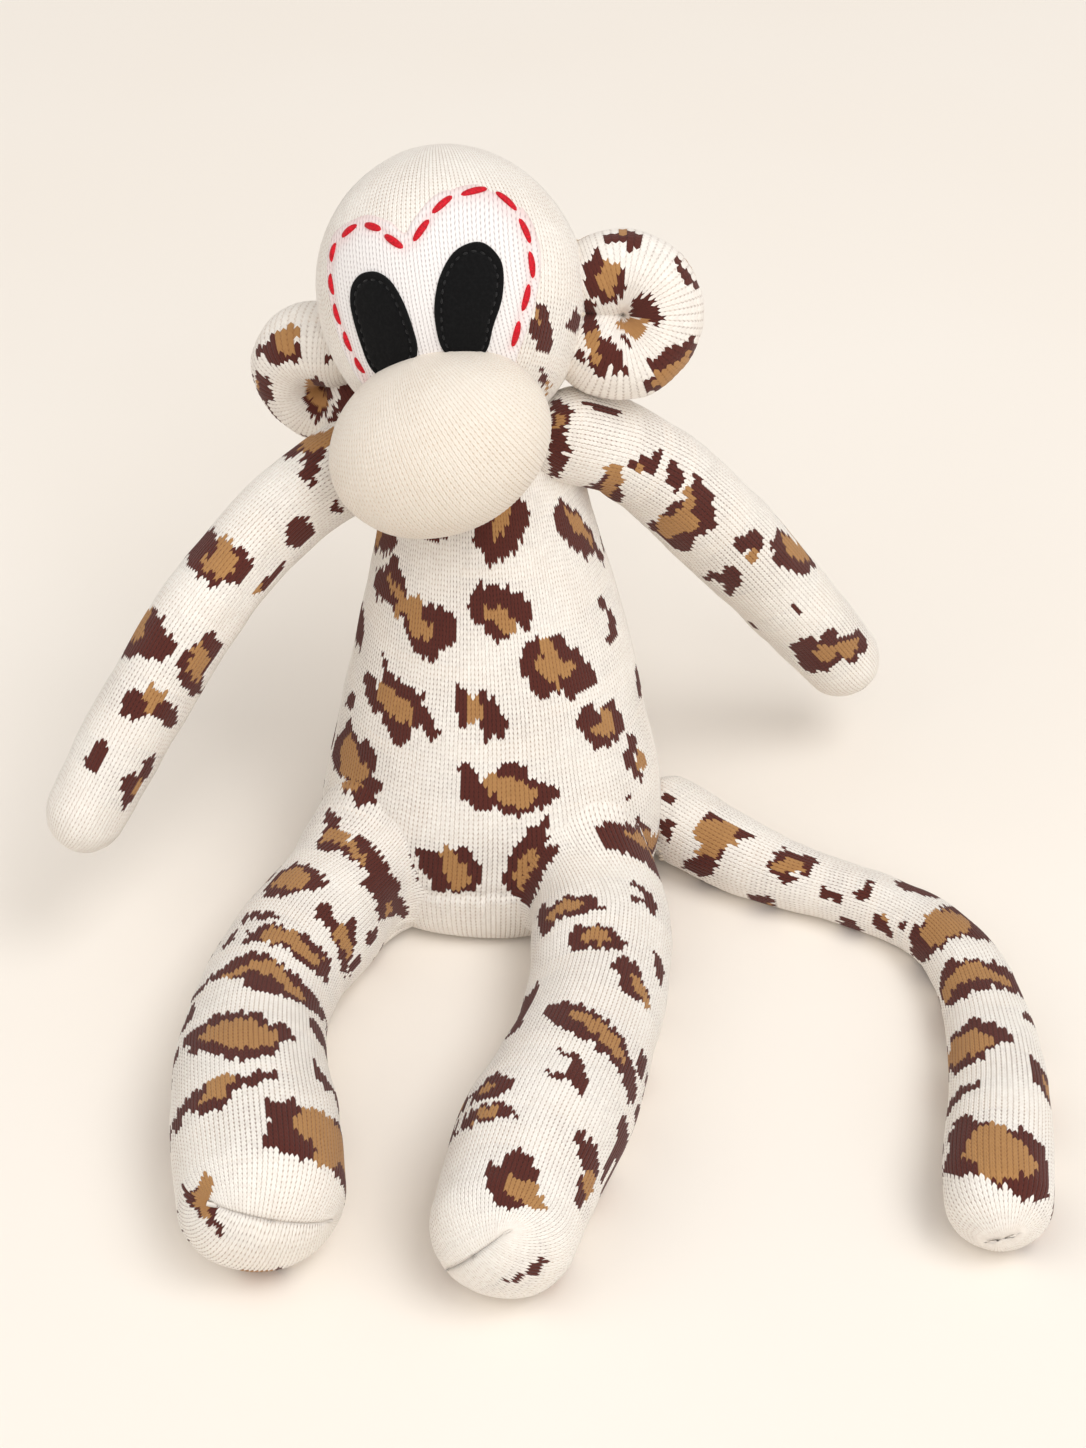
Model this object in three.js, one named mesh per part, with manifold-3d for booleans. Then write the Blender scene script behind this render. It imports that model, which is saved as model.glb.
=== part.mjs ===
// Sock monkey doll, sitting on the floor with its legs and tail lying flat.
// Millimetres, +Z up, the doll faces -Y, and +X is the doll's own left side.
import * as THREE from 'three';
import { mergeVertices } from 'three/addons/utils/BufferGeometryUtils.js';
import Module from 'manifold-3d';

const wasm = await Module();
wasm.setup();

// Cloth, thread and clearances
const sockWall = 1.5;
const gap = 0.3;
const threadRadius = 0.6;
const grooveGap = 0.6;
const neckGap = 1.3;
const feltThickness = 1.2;
const floorCut = 0.5;

// Facets: how many sides a section has, and how many rings a dome has
const fine = 20;
const coarse = 12;
const limbSides = 16;
const socketSides = 16;
const threadSides = 5;
const grooveSides = 4;
const domeRingCount = 4;

// Torso
const torso = { height: 177, halfWidth: 64, halfDepth: 52, leanBack: 46, leanSide: 3, widestHeight: 24 };
// Each row: height, half width, half depth, how far back and how far to the side
const torsoShares = [
  [0, 0.78, 0.83, -0.11, 0],
  [0.017, 0.89, 0.92, -0.11, 0],
  [0.056, 0.97, 0.98, -0.11, 0],
  [0.136, 1, 1, -0.09, 0],
  [0.25, 0.96, 0.98, -0.02, 0.3],
  [0.37, 0.875, 0.92, 0.11, 0.3],
  [0.5, 0.79, 0.84, 0.26, 0.3],
  [0.62, 0.7, 0.76, 0.43, 0],
  [0.735, 0.615, 0.68, 0.6, -0.3],
  [0.835, 0.55, 0.6, 0.76, -0.6],
  [0.905, 0.5, 0.54, 0.87, -0.8],
  [0.955, 0.43, 0.47, 0.94, -0.9],
  [0.99, 0.325, 0.36, 0.99, -1],
  [1, 0.19, 0.21, 1, -1],
];

// Head: an egg whose lower end is nearly a ball about the point that it turns on
const head = { halfWidth: 46.5, halfHeight: 52, aboveTorso: [-9.5, 0, 39.5], yaw: -7, roll: -13 };
const neckOpening = 15;
const neckSeamRadius = 26;

// Muzzle
const muzzle = { halfWidth: 38, halfHeight: 30, halfDepth: 30, centre: [-2, -54, -28] };
const muzzleSeam = { halfWidth: 28.5, halfHeight: 25 };

// Face patch and its running stitch, as shares of the head's half width and half height
const patchShares = [
  [-0.54, -0.23], [-0.65, -0.04], [-0.7, 0.17], [-0.72, 0.41], [-0.67, 0.61],
  [-0.53, 0.76], [-0.37, 0.82], [-0.15, 0.79], [0.01, 0.72], [0.17, 0.83],
  [0.32, 0.885], [0.465, 0.86], [0.625, 0.75], [0.76, 0.595], [0.83, 0.38],
  [0.775, 0.15], [0.63, -0.08], [0.43, -0.38], [-0.26, -0.42],
];
const stitchShares = [
  [-0.545, -0.15], [-0.59, -0.02], [-0.64, 0.12], [-0.66, 0.29], [-0.665, 0.46],
  [-0.625, 0.61], [-0.485, 0.74], [-0.28, 0.775], [-0.115, 0.72], [0.097, 0.745],
  [0.252, 0.83], [0.455, 0.81], [0.625, 0.7], [0.745, 0.55], [0.785, 0.365],
  [0.73, 0.2], [0.63, 0.03],
];
const stitch = { radius: 0.75, over: 6.4, under: 0.3 };

// Eyes: ovals of felt, each with its place on the face and its lean
const eye = { halfWidth: 10.8, halfHeight: 19 };
const eyePlaces = {
  right: { across: -14.3, up: 11, lean: 5 },
  left: { across: 16.2, up: 15.5, lean: -13 },
};

// Ears: a short stuffed tube curled into a ring, with both ends on the head
const ear = { ringRadius: 15.5, tubeRadius: 13.4, sink: 5, sweep: 230 };
const earRadiusShares = [0.88, 0.94, 0.98, 1, 1, 1, 0.98, 0.94, 0.88];
const earPlaces = {
  left: { drop: 16, back: 4, lean: 24, rise: 0 },
  right: { drop: 22, back: 9, lean: -10, rise: 12 },
};
const earRingCount = 8;

// Arms: each starts at its shoulder angle and droops more and more, its radius a share of the root's
const arm = { rootRadius: 17, length: 157, tip: 16, sink: 2 };
const armSectionCount = 7;
const armPlaces = {
  left: {
    heightShare: 0.893, socket: -2, reach: 19, shoulder: 25, droop: 54, bend: 5,
    radiusShares: [1, 0.95, 1.03, 1.09, 1.1, 1.07, 1.02, 0.96],
  },
  right: {
    heightShare: 0.842, socket: 187, reach: 222, shoulder: -5, droop: 50, bend: 2.1,
    radiusShares: [1, 0.96, 0.95, 0.96, 0.98, 0.99, 0.98, 0.96],
  },
};

// Legs: headings are turns from straight ahead, positive towards the doll's left
const leg = { rootRadius: 24, footRadius: 28, length: 152, tip: 22, sink: 5 };
const legRadiusShares = [0, -0.1, -0.15, 0, 0.35, 0.8, 1, 0.9];
const legSectionCount = 7;
const legPlaces = {
  left: { socket: -56, headings: [4, 0, -5, -11, -17, -22, -22, -20] },
  right: { socket: 222, headings: [-42, -30, -18, -8, 0, 7, 10, 10] },
};

// Tail
const tail = { rootRadius: 14, tipRadius: 17, length: 250, tip: 16, sink: 2, socket: -2 };
const tailRadiusShares = [0, -0.3, -0.63, -0.83, -0.67, -0.37, 0, 0.47, 0.9, 0.93, 0.5];
const tailHeadings = [45, 52, 66, 69, 52, 25, 6, -2, -6, -9, -6];
const tailSectionCount = 12;

// Colours from the photo
const colours = {
  knit: 0xeae3da, cream: 0xf1e6d8, patch: 0xefebea, felt: 0x141414,
  red: 0xe2142d, thread: 0xe6ddd0, stuffing: 0xf7f4ee,
};

const material = (color, roughness) => new THREE.MeshStandardMaterial({ color, roughness, metalness: 0 });
const knitCloth = () => material(colours.knit, 0.95);
const creamCloth = () => material(colours.cream, 0.95);
const stuffingFibre = () => material(colours.stuffing, 1);
const sewingThread = () => material(colours.thread, 0.7);

// Solids

function solid(geometry) {
  const bare = geometry.clone();
  bare.deleteAttribute('normal');
  bare.deleteAttribute('uv');
  const merged = mergeVertices(bare);
  return new wasm.Manifold(new wasm.Mesh({
    numProp: 3,
    vertProperties: new Float32Array(merged.attributes.position.array),
    triVerts: new Uint32Array(merged.index.array),
  }));
}

function piece(name, body, surface) {
  const mesh = body.getMesh();
  const geometry = new THREE.BufferGeometry();
  geometry.setAttribute('position', new THREE.BufferAttribute(new Float32Array(mesh.vertProperties), 3));
  geometry.setIndex(new THREE.BufferAttribute(new Uint32Array(mesh.triVerts), 1));
  geometry.computeVertexNormals();
  const item = new THREE.Mesh(geometry, surface);
  item.name = name;
  return item;
}

// A body less its cutters, without the slivers left where cutters cross
function cut(body, ...cutters) {
  const rest = cutters.reduce((left, cutter) => left.subtract(cutter), body);
  return rest.decompose().reduce((largest, bit) => (bit.volume() > largest.volume() ? bit : largest));
}

// Whole numbers from zero, up to a count or through to it
const upTo = (count) => [...Array(count).keys()];
const throughTo = (count) => [...upTo(count), count];

const radians = (degrees) => THREE.MathUtils.degToRad(degrees);
const vector = (list) => new THREE.Vector3(...list);

// The value of a table at a share of its length, the table's entries being evenly spaced
function tableAt(table, share) {
  const place = share * (table.length - 1);
  const row = Math.min(Math.floor(place), table.length - 2);
  return THREE.MathUtils.lerp(table[row], table[row + 1], place - row);
}

// A closed skin over rings of points, each ring counter-clockwise seen from the last ring's side
function skin(rings, closedLoop = false) {
  const sides = rings[0].length;
  const positions = rings.flat().flatMap((p) => [p.x, p.y, p.z]);
  const index = [];
  const spans = closedLoop ? rings.length : rings.length - 1;
  for (let i = 0; i < spans; i++) {
    for (let k = 0; k < sides; k++) {
      const a = i * sides + k;
      const b = i * sides + ((k + 1) % sides);
      const next = ((i + 1) % rings.length) * sides;
      const c = next + ((k + 1) % sides);
      const d = next + k;
      index.push(a, b, c, a, c, d);
    }
  }
  if (!closedLoop) {
    for (const [ring, outward] of [[0, -1], [rings.length - 1, 1]]) {
      const middle = rings[ring].reduce((sum, p) => sum.add(p), new THREE.Vector3()).divideScalar(sides);
      const centre = positions.length / 3;
      positions.push(middle.x, middle.y, middle.z);
      for (let k = 0; k < sides; k++) {
        const here = ring * sides + k;
        const there = ring * sides + ((k + 1) % sides);
        index.push(centre, outward > 0 ? here : there, outward > 0 ? there : here);
      }
    }
  }
  const geometry = new THREE.BufferGeometry();
  geometry.setAttribute('position', new THREE.Float32BufferAttribute(positions, 3));
  geometry.setIndex(index);
  return geometry;
}

// One ring of a tube: its flat vector is square to the plane that the tube bends in
function ring({ centre, tangent, flat, radius }, sides) {
  const across = flat.clone().cross(tangent).normalize();
  const upright = tangent.clone().cross(across).normalize();
  return upTo(sides).map((k) => {
    const angle = (2 * Math.PI * k) / sides;
    return centre.clone()
      .addScaledVector(across, radius * Math.cos(angle))
      .addScaledVector(upright, radius * Math.sin(angle));
  });
}

// A tube with a round root and a round tip, every surface drawn in by inset
function stuffedTube(spine, tipLength, sides, inset = 0) {
  const rings = [];
  const first = spine[0];
  const last = spine[spine.length - 1];
  const dome = (end, length, step, sign) => {
    const angle = (Math.PI / 2) * (step / domeRingCount);
    const centre = end.centre.clone().addScaledVector(end.tangent, sign * length * Math.cos(angle));
    return ring({ ...end, centre, radius: (end.radius - inset) * Math.sin(angle) }, sides);
  };
  for (let step = 1; step < domeRingCount; step++) rings.push(dome(first, first.radius - inset, step, -1));
  for (const place of spine) rings.push(ring({ ...place, radius: place.radius - inset }, sides));
  for (let step = domeRingCount - 1; step > 0; step--) rings.push(dome(last, tipLength - inset, step, 1));
  return solid(skin(rings));
}

// A closed loop of thread through points, with the way up at each
function threadLoop(points, ups, radius, sides = threadSides) {
  const rings = points.map((centre, i) => {
    const before = points[(i + points.length - 1) % points.length];
    const after = points[(i + 1) % points.length];
    return ring({ centre, tangent: after.clone().sub(before).normalize(), flat: ups[i], radius }, sides);
  });
  return solid(skin(rings, true));
}

// A round loop of thread about the origin, square to an axis and some way along it
function seamRing(axis, along, loopRadius, radius, sides) {
  const count = 20;
  const side = new THREE.Vector3(-axis.y, axis.x, 0).lengthSq() > 0
    ? new THREE.Vector3(-axis.y, axis.x, 0).normalize() : new THREE.Vector3(1, 0, 0);
  const other = axis.clone().cross(side);
  const points = upTo(count).map((i) => {
    const angle = (2 * Math.PI * i) / count;
    return axis.clone().multiplyScalar(along)
      .addScaledVector(side, loopRadius * Math.cos(angle))
      .addScaledVector(other, loopRadius * Math.sin(angle));
  });
  return threadLoop(points, points.map(() => axis), radius, sides);
}

// A ball whose facets all stay outside the stated radius
function clearBall(centre, radius, sides = socketSides) {
  const facet = Math.cos(Math.PI / sides) ** 2;
  const ball = new THREE.SphereGeometry(radius / facet, sides, sides / 2);
  return solid(ball.translate(centre.x, centre.y, centre.z));
}

// A round hole from a point along a direction
function hole(from, direction, radius, length) {
  const rod = new THREE.CylinderGeometry(radius, radius, length, coarse);
  rod.translate(0, length / 2, 0);
  rod.applyQuaternion(new THREE.Quaternion().setFromUnitVectors(new THREE.Vector3(0, 1, 0), direction));
  return solid(rod.translate(from.x, from.y, from.z));
}

// Everything below a floor, seen from a pivot at a height over it
function belowFloor(height, lift = 0) {
  const reach = 2 * (leg.length + tail.length);
  const slab = new THREE.BoxGeometry(reach, reach, height);
  return solid(slab.translate(0, 0, lift - height - height / 2));
}

// Where the limbs meet the torso

function torsoRow(share) {
  const last = torsoShares.length - 1;
  const row = Math.max(torsoShares.findIndex((entry) => entry[0] >= share), 1);
  const low = torsoShares[row - 1];
  const high = torsoShares[Math.min(row, last)];
  const part = (share - low[0]) / (high[0] - low[0]);
  const [, width, depth, back, side] = low.map((value, i) => THREE.MathUtils.lerp(value, high[i], part));
  return {
    halfWidth: torso.halfWidth * width,
    halfDepth: torso.halfDepth * depth,
    centre: new THREE.Vector3(torso.leanSide * side, torso.leanBack * back, torso.height * share),
  };
}

// A point on the torso's skin, at a height and on the side that an angle from +X names
function onTorso(height, angle) {
  const row = torsoRow(height / torso.height);
  const outward = new THREE.Vector3(Math.cos(radians(angle)), Math.sin(radians(angle)), 0);
  const reach = 1 / Math.hypot(outward.x / row.halfWidth, outward.y / row.halfDepth);
  return row.centre.clone().addScaledVector(outward, reach);
}

// A limb's pivot: its ball is sunk a little into the torso's skin, square to it
function limbPivot(height, angle, rootRadius, sink) {
  const around = onTorso(height, angle + 1).sub(onTorso(height, angle - 1));
  const upwards = onTorso(height + sink, angle).sub(onTorso(height - sink, angle));
  const outward = around.cross(upwards).normalize();
  const pivot = onTorso(height, angle).addScaledVector(outward, rootRadius - sink);
  return { pivot, outward, rootRadius, sink };
}

// A limb that lies on the floor has its pivot just under one root radius up
function lyingPivot(limb, angle) {
  const root = limbPivot(torso.widestHeight, angle, limb.rootRadius, limb.sink);
  root.outward.setZ(0).normalize();
  root.pivot.setZ(limb.rootRadius - floorCut);
  return root;
}

const legRoot = (side) => lyingPivot(leg, legPlaces[side].socket);
const armRoot = (side) => {
  const { heightShare, socket } = armPlaces[side];
  return limbPivot(heightShare * torso.height, socket, arm.rootRadius, arm.sink);
};
const tailRoot = () => lyingPivot(tail, tail.socket);

// The seam of a limb: a ring of thread in the crease between its ball and the torso
function limbSeam({ outward, rootRadius, sink }) {
  const along = rootRadius - sink - threadRadius - gap;
  const reach = rootRadius + threadRadius + gap;
  return seamRing(outward, -along, Math.sqrt(reach ** 2 - along ** 2), threadRadius, threadSides);
}

// Head: sizes that its neighbours need
const headTurn = new THREE.Euler(0, radians(head.roll), radians(head.yaw), 'ZYX');
const neckBall = head.halfWidth ** 2 / head.halfHeight;
const headRise = head.halfHeight - neckBall;
const torsoTop = torsoRow(1).centre;
const headCentre = torsoTop.clone().add(vector(head.aboveTorso));
const headPivot = headCentre.clone().sub(new THREE.Vector3(0, 0, headRise).applyEuler(headTurn));
const neckAxis = headPivot.clone().sub(torsoTop).normalize();

function neckSeam(radius, sides = threadSides) {
  const reach = neckBall + neckGap + threadRadius + gap;
  return seamRing(neckAxis, -Math.sqrt(reach ** 2 - neckSeamRadius ** 2), neckSeamRadius, radius, sides);
}

// Torso

function torsoForm(sides, inset = 0) {
  const everyOther = torsoShares.filter((_, i) => i % 2 === 0 || i === torsoShares.length - 1);
  const rows = sides === fine ? torsoShares : everyOther;
  const rings = rows.map(([heightShare]) => {
    const row = torsoRow(heightShare);
    const height = inset + heightShare * (torso.height - 2 * inset);
    return upTo(sides).map((k) => {
      const angle = (2 * Math.PI * k) / sides;
      const x = row.centre.x + (row.halfWidth - inset) * Math.cos(angle);
      const y = row.centre.y + (row.halfDepth - inset) * Math.sin(angle);
      return new THREE.Vector3(x, y, height);
    });
  });
  return solid(skin(rings));
}

function buildTorso() {
  const limbs = [legRoot('left'), legRoot('right'), armRoot('left'), armRoot('right'), tailRoot()];
  const sockets = (extra) => [
    ...limbs.map(({ pivot, rootRadius }) => clearBall(pivot, rootRadius + gap + extra)),
    clearBall(headPivot, neckBall + neckGap + extra),
  ];
  const groove = neckSeam(threadRadius + grooveGap, grooveSides).translate(headPivot.toArray());
  const cavity = cut(torsoForm(coarse, sockWall), ...sockets(sockWall));
  const opening = hole(headPivot, neckAxis.clone().negate(), neckOpening, neckBall + torso.height / 4);
  const sock = cut(torsoForm(fine), ...sockets(0), groove, cavity, opening);
  const stuffing = cut(torsoForm(coarse, sockWall + gap), ...sockets(sockWall + gap));
  const group = new THREE.Group();
  group.add(piece('torso_sock', sock, knitCloth()), piece('torso_stuffing', stuffing, stuffingFibre()));
  const fixedSeams = { leg_left_thread: limbs[0], leg_right_thread: limbs[1], tail_thread: limbs[4] };
  for (const [name, limb] of Object.entries(fixedSeams)) {
    const thread = piece(name, limbSeam(limb), sewingThread());
    thread.position.copy(limb.pivot);
    group.add(thread);
  }
  return group;
}

// Limbs

// A sock tube and the stuffing in it, about the limb's pivot, open at its root
function sockAndStuffing(name, spine, tipLength, floorDepth) {
  const form = (sides, inset) => stuffedTube(spine, tipLength, sides, inset);
  const inward = spine[0].tangent.clone().negate();
  const open = hole(spine[0].centre, inward, spine[0].radius / 2, 2 * spine[0].radius);
  let sock = cut(form(limbSides, 0), form(limbSides / 2, sockWall), open);
  let stuffing = form(limbSides / 2, sockWall + gap);
  if (floorDepth) {
    sock = cut(sock, belowFloor(floorDepth));
    stuffing = cut(stuffing, belowFloor(floorDepth, sockWall));
  }
  return [piece(`${name}_sock`, sock, knitCloth()), piece(`${name}_stuffing`, stuffing, stuffingFibre())];
}

// A limb that lies on the floor: headings turn from straight ahead, and its underside is level
function floorSpine(limb, tipRadius, radiusShares, headings, sections) {
  const up = new THREE.Vector3(0, 0, 1);
  const centre = new THREE.Vector3();
  return throughTo(sections).map((i) => {
    const share = i / sections;
    const angle = radians(tableAt(headings, share));
    const tangent = new THREE.Vector3(Math.sin(angle), -Math.cos(angle), 0);
    if (i > 0) centre.addScaledVector(tangent, limb.length / sections);
    const radius = limb.rootRadius + (tipRadius - limb.rootRadius) * tableAt(radiusShares, share);
    const lying = centre.clone().setZ(radius - limb.rootRadius);
    return { centre: lying, tangent, flat: up, radius };
  });
}

function buildLeg(side) {
  const { headings } = legPlaces[side];
  const spine = floorSpine(leg, leg.footRadius, legRadiusShares, headings, legSectionCount);
  const { pivot } = legRoot(side);
  const group = new THREE.Group();
  group.position.copy(pivot);
  group.add(...sockAndStuffing(`leg_${side}`, spine, leg.tip, pivot.z));
  return group;
}

function buildTail() {
  const spine = floorSpine(tail, tail.tipRadius, tailRadiusShares, tailHeadings, tailSectionCount);
  const { pivot } = tailRoot();
  const group = new THREE.Group();
  group.position.copy(pivot);
  group.add(...sockAndStuffing('tail', spine, tail.tip, pivot.z));
  return group;
}

// An arm held in the air: it reaches out at an angle from +X and droops more and more
function buildArm(side) {
  const place = armPlaces[side];
  const angle = radians(place.reach);
  const outward = new THREE.Vector3(Math.cos(angle), Math.sin(angle), 0);
  const flat = new THREE.Vector3(Math.sin(angle), -Math.cos(angle), 0);
  const centre = new THREE.Vector3();
  const spine = throughTo(armSectionCount).map((i) => {
    const share = i / armSectionCount;
    const droop = radians(THREE.MathUtils.lerp(place.droop, place.shoulder, (1 - share) ** place.bend));
    const tangent = outward.clone().multiplyScalar(Math.cos(droop)).setZ(-Math.sin(droop));
    if (i > 0) centre.addScaledVector(tangent, arm.length / armSectionCount);
    const radius = arm.rootRadius * tableAt(place.radiusShares, share);
    return { centre: centre.clone(), tangent, flat, radius };
  });
  const root = armRoot(side);
  const group = new THREE.Group();
  group.position.copy(root.pivot);
  group.add(piece(`arm_${side}_thread`, limbSeam(root), sewingThread()));
  group.add(...sockAndStuffing(`arm_${side}`, spine, arm.tip));
  return group;
}

// Head

// An egg about the head's centre, every half size raised by lift
function egg(halfSizes, lift, sides) {
  const [x, y, z] = halfSizes;
  const ball = new THREE.SphereGeometry(1, sides, sides / 2).rotateX(Math.PI / 2);
  return solid(ball.scale(x + lift, y + lift, z + lift));
}

function headEgg(lift, sides = fine) {
  return egg([head.halfWidth, head.halfWidth, head.halfHeight], lift, sides);
}

function muzzleEgg(lift, sides = fine) {
  return egg([muzzle.halfWidth, muzzle.halfDepth, muzzle.halfHeight], lift, sides).translate(muzzle.centre);
}

// A point on the head in a direction from its centre, raised by lift, with the way out there
function onHead(direction, lift) {
  const half = new THREE.Vector3(head.halfWidth, head.halfWidth, head.halfHeight);
  const reach = 1 / direction.clone().divide(half).length();
  const point = direction.clone().multiplyScalar(reach);
  const out = point.clone().divide(half).divide(half).normalize();
  return { point: point.addScaledVector(out, lift), out };
}

// A point on the face, from shares of the head's half width and half height
function onFace([across, up], lift) {
  const depth = Math.sqrt(Math.max(1 - across ** 2 - up ** 2, 0));
  const towards = new THREE.Vector3(across * head.halfWidth, -depth * head.halfWidth, up * head.halfHeight);
  return onHead(towards, lift);
}

// Everything straight in front of an outline on the face
function faceColumn(outline) {
  const shape = new THREE.Shape(outline.map(([x, z]) => new THREE.Vector2(x, z)));
  const column = new THREE.ExtrudeGeometry(shape, { depth: 2 * head.halfWidth, bevelEnabled: false });
  return solid(column.rotateX(Math.PI / 2));
}

// A sheet that follows the head at a lift, cut to an outline
const faceSheet = (outline, lift, thickness) => headEgg(lift + thickness).subtract(headEgg(lift))
  .intersect(faceColumn(outline));

function patchOutline() {
  const halves = new THREE.Vector3(head.halfWidth, head.halfHeight, 1);
  const corners = patchShares.map(([x, z]) => new THREE.Vector3(x, z, 0).multiply(halves));
  const curve = new THREE.CatmullRomCurve3(corners, true);
  return curve.getSpacedPoints(2 * patchShares.length).slice(1).map((p) => [p.x, p.y]);
}

function eyeOutline({ across, up, lean }) {
  const count = fine;
  const turn = radians(lean);
  return upTo(count).map((i) => {
    const angle = (2 * Math.PI * i) / count;
    const x = eye.halfWidth * Math.cos(angle);
    const z = eye.halfHeight * Math.sin(angle);
    return [across + x * Math.cos(turn) - z * Math.sin(turn), up + x * Math.sin(turn) + z * Math.cos(turn)];
  });
}

// The running stitch: over the patch for each stitch, and under it between them
function runningStitch(radius, sides = threadSides) {
  const patchTop = gap + feltThickness;
  const places = stitchShares.map((share) => onFace(share, 0));
  const rings = [];
  const add = (a, b, part, lift) => {
    const direction = a.point.clone().lerp(b.point, part);
    rings.push(onHead(direction, lift));
  };
  places.forEach((place, i) => {
    const before = places[Math.max(i - 1, 0)];
    const after = places[Math.min(i + 1, places.length - 1)];
    const back = stitch.over / 2 / Math.max(place.point.distanceTo(before.point), stitch.over);
    const ahead = stitch.over / 2 / Math.max(place.point.distanceTo(after.point), stitch.over);
    add(place, before, back, patchTop + stitch.radius);
    if (i < places.length - 1) {
      add(place, after, ahead, patchTop + stitch.radius);
      add(place, after, 1 / 2, -stitch.under);
    }
  });
  const sections = rings.map(({ point, out }, i) => {
    const from = rings[Math.max(i - 1, 0)].point;
    const to = rings[Math.min(i + 1, rings.length - 1)].point;
    return ring({ centre: point, tangent: to.clone().sub(from).normalize(), flat: out, radius }, sides);
  });
  return solid(skin(sections));
}

function muzzleSeamLoop(radius, sides = threadSides) {
  const outward = vector(muzzle.centre).normalize();
  const across = new THREE.Vector3(1, 0, 0);
  const upright = across.clone().cross(outward).normalize();
  const half = Math.max(muzzleSeam.halfWidth, muzzleSeam.halfHeight);
  const depth = Math.sqrt(head.halfWidth ** 2 - half ** 2);
  const loop = upTo(fine).map((i) => {
    const angle = (2 * Math.PI * i) / fine;
    const direction = outward.clone().multiplyScalar(depth)
      .addScaledVector(across, muzzleSeam.halfWidth * Math.cos(angle))
      .addScaledVector(upright, muzzleSeam.halfHeight * Math.sin(angle));
    return onHead(direction, threadRadius + gap);
  });
  return threadLoop(loop.map(({ point }) => point), loop.map(({ out }) => out), radius, sides);
}

// An ear's place on the head: the middle of its hinge line, its way out and its hinge direction
function earRoot(side) {
  const sign = side === 'left' ? 1 : -1;
  const { drop, back, lean, rise } = earPlaces[side];
  const widthShare = Math.sqrt(1 - (drop / head.halfHeight) ** 2 - (back / head.halfWidth) ** 2);
  const { point, out } = onHead(new THREE.Vector3(sign * head.halfWidth * widthShare, back, -drop), 0);
  const upright = new THREE.Vector3(0, 0, 1).projectOnPlane(out).normalize();
  const hinge = upright.applyAxisAngle(out, -sign * radians(lean));
  const endRadius = ear.tubeRadius * earRadiusShares[0];
  const pivot = point.addScaledVector(out, endRadius - ear.sink);
  const front = out.clone().cross(hinge);
  out.applyAxisAngle(front, radians(rise));
  hinge.applyAxisAngle(front, radians(rise));
  const halfHinge = ear.ringRadius * Math.sin(radians(ear.sweep / 2));
  const ends = [-1, 1].map((end) => pivot.clone().addScaledVector(hinge, end * halfHinge));
  return { pivot, out, hinge, ends, endRadius, halfHinge };
}

function earSpine({ out, hinge }) {
  const half = radians(ear.sweep / 2);
  const flat = out.clone().cross(hinge);
  return throughTo(earRingCount).map((i) => {
    const share = i / earRingCount;
    const angle = half * (2 * share - 1);
    const centre = out.clone().multiplyScalar(ear.ringRadius * (Math.cos(angle) - Math.cos(half)))
      .addScaledVector(hinge, ear.ringRadius * Math.sin(angle));
    const tangent = out.clone().multiplyScalar(-Math.sin(angle)).addScaledVector(hinge, Math.cos(angle));
    return { centre, tangent, flat, radius: ear.tubeRadius * tableAt(earRadiusShares, share) };
  });
}

// The ear's seam: one loop of thread round both of its ends
function earSeamLoop({ pivot, out, hinge, endRadius, halfHinge }) {
  const front = out.clone().cross(hinge);
  const reach = endRadius + threadRadius + 3 * gap;
  const loop = upTo(fine).map((i) => {
    const angle = (2 * Math.PI * i) / fine;
    const direction = pivot.clone().addScaledVector(out, -endRadius + ear.sink)
      .addScaledVector(front, reach * Math.cos(angle))
      .addScaledVector(hinge, (reach + halfHinge) * Math.sin(angle));
    return onHead(direction, threadRadius + gap);
  });
  return threadLoop(loop.map(({ point }) => point), loop.map(({ out: up }) => up), threadRadius);
}

function buildEar(side) {
  const root = earRoot(side);
  const group = new THREE.Group();
  group.position.copy(root.pivot);
  group.add(...sockAndStuffing(`ear_${side}`, earSpine(root), root.endRadius));
  return group;
}

function buildFace() {
  const outline = patchOutline();
  const aroundMuzzle = [muzzleEgg(gap), muzzleSeamLoop(threadRadius + grooveGap, grooveSides)];
  const thread = runningStitch(stitch.radius);
  const threadRoom = runningStitch(stitch.radius + 2 * gap, grooveSides);
  const patch = cut(faceSheet(outline, gap, feltThickness), ...aroundMuzzle, threadRoom);
  const eyeLift = feltThickness + 2 * gap;
  const parts = [
    piece('face_patch', patch, material(colours.patch, 0.9)),
    piece('face_patch_stitching', thread, material(colours.red, 0.6)),
  ];
  for (const [side, place] of Object.entries(eyePlaces)) {
    const felt = cut(faceSheet(eyeOutline(place), eyeLift, feltThickness), ...aroundMuzzle);
    parts.push(piece(`eye_${side}`, felt, material(colours.felt, 0.9)));
  }
  return { parts, threadRoom };
}

function buildMuzzle() {
  const groove = muzzleSeamLoop(threadRadius + grooveGap, grooveSides);
  const sock = cut(muzzleEgg(0), muzzleEgg(-sockWall, coarse), headEgg(gap), groove);
  const stuffing = cut(muzzleEgg(-sockWall - gap, coarse), headEgg(2 * gap), groove);
  return [
    piece('muzzle_sock', sock, creamCloth()),
    piece('muzzle_stuffing', stuffing, stuffingFibre()),
    piece('muzzle_thread', muzzleSeamLoop(threadRadius), sewingThread()),
  ];
}

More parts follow.
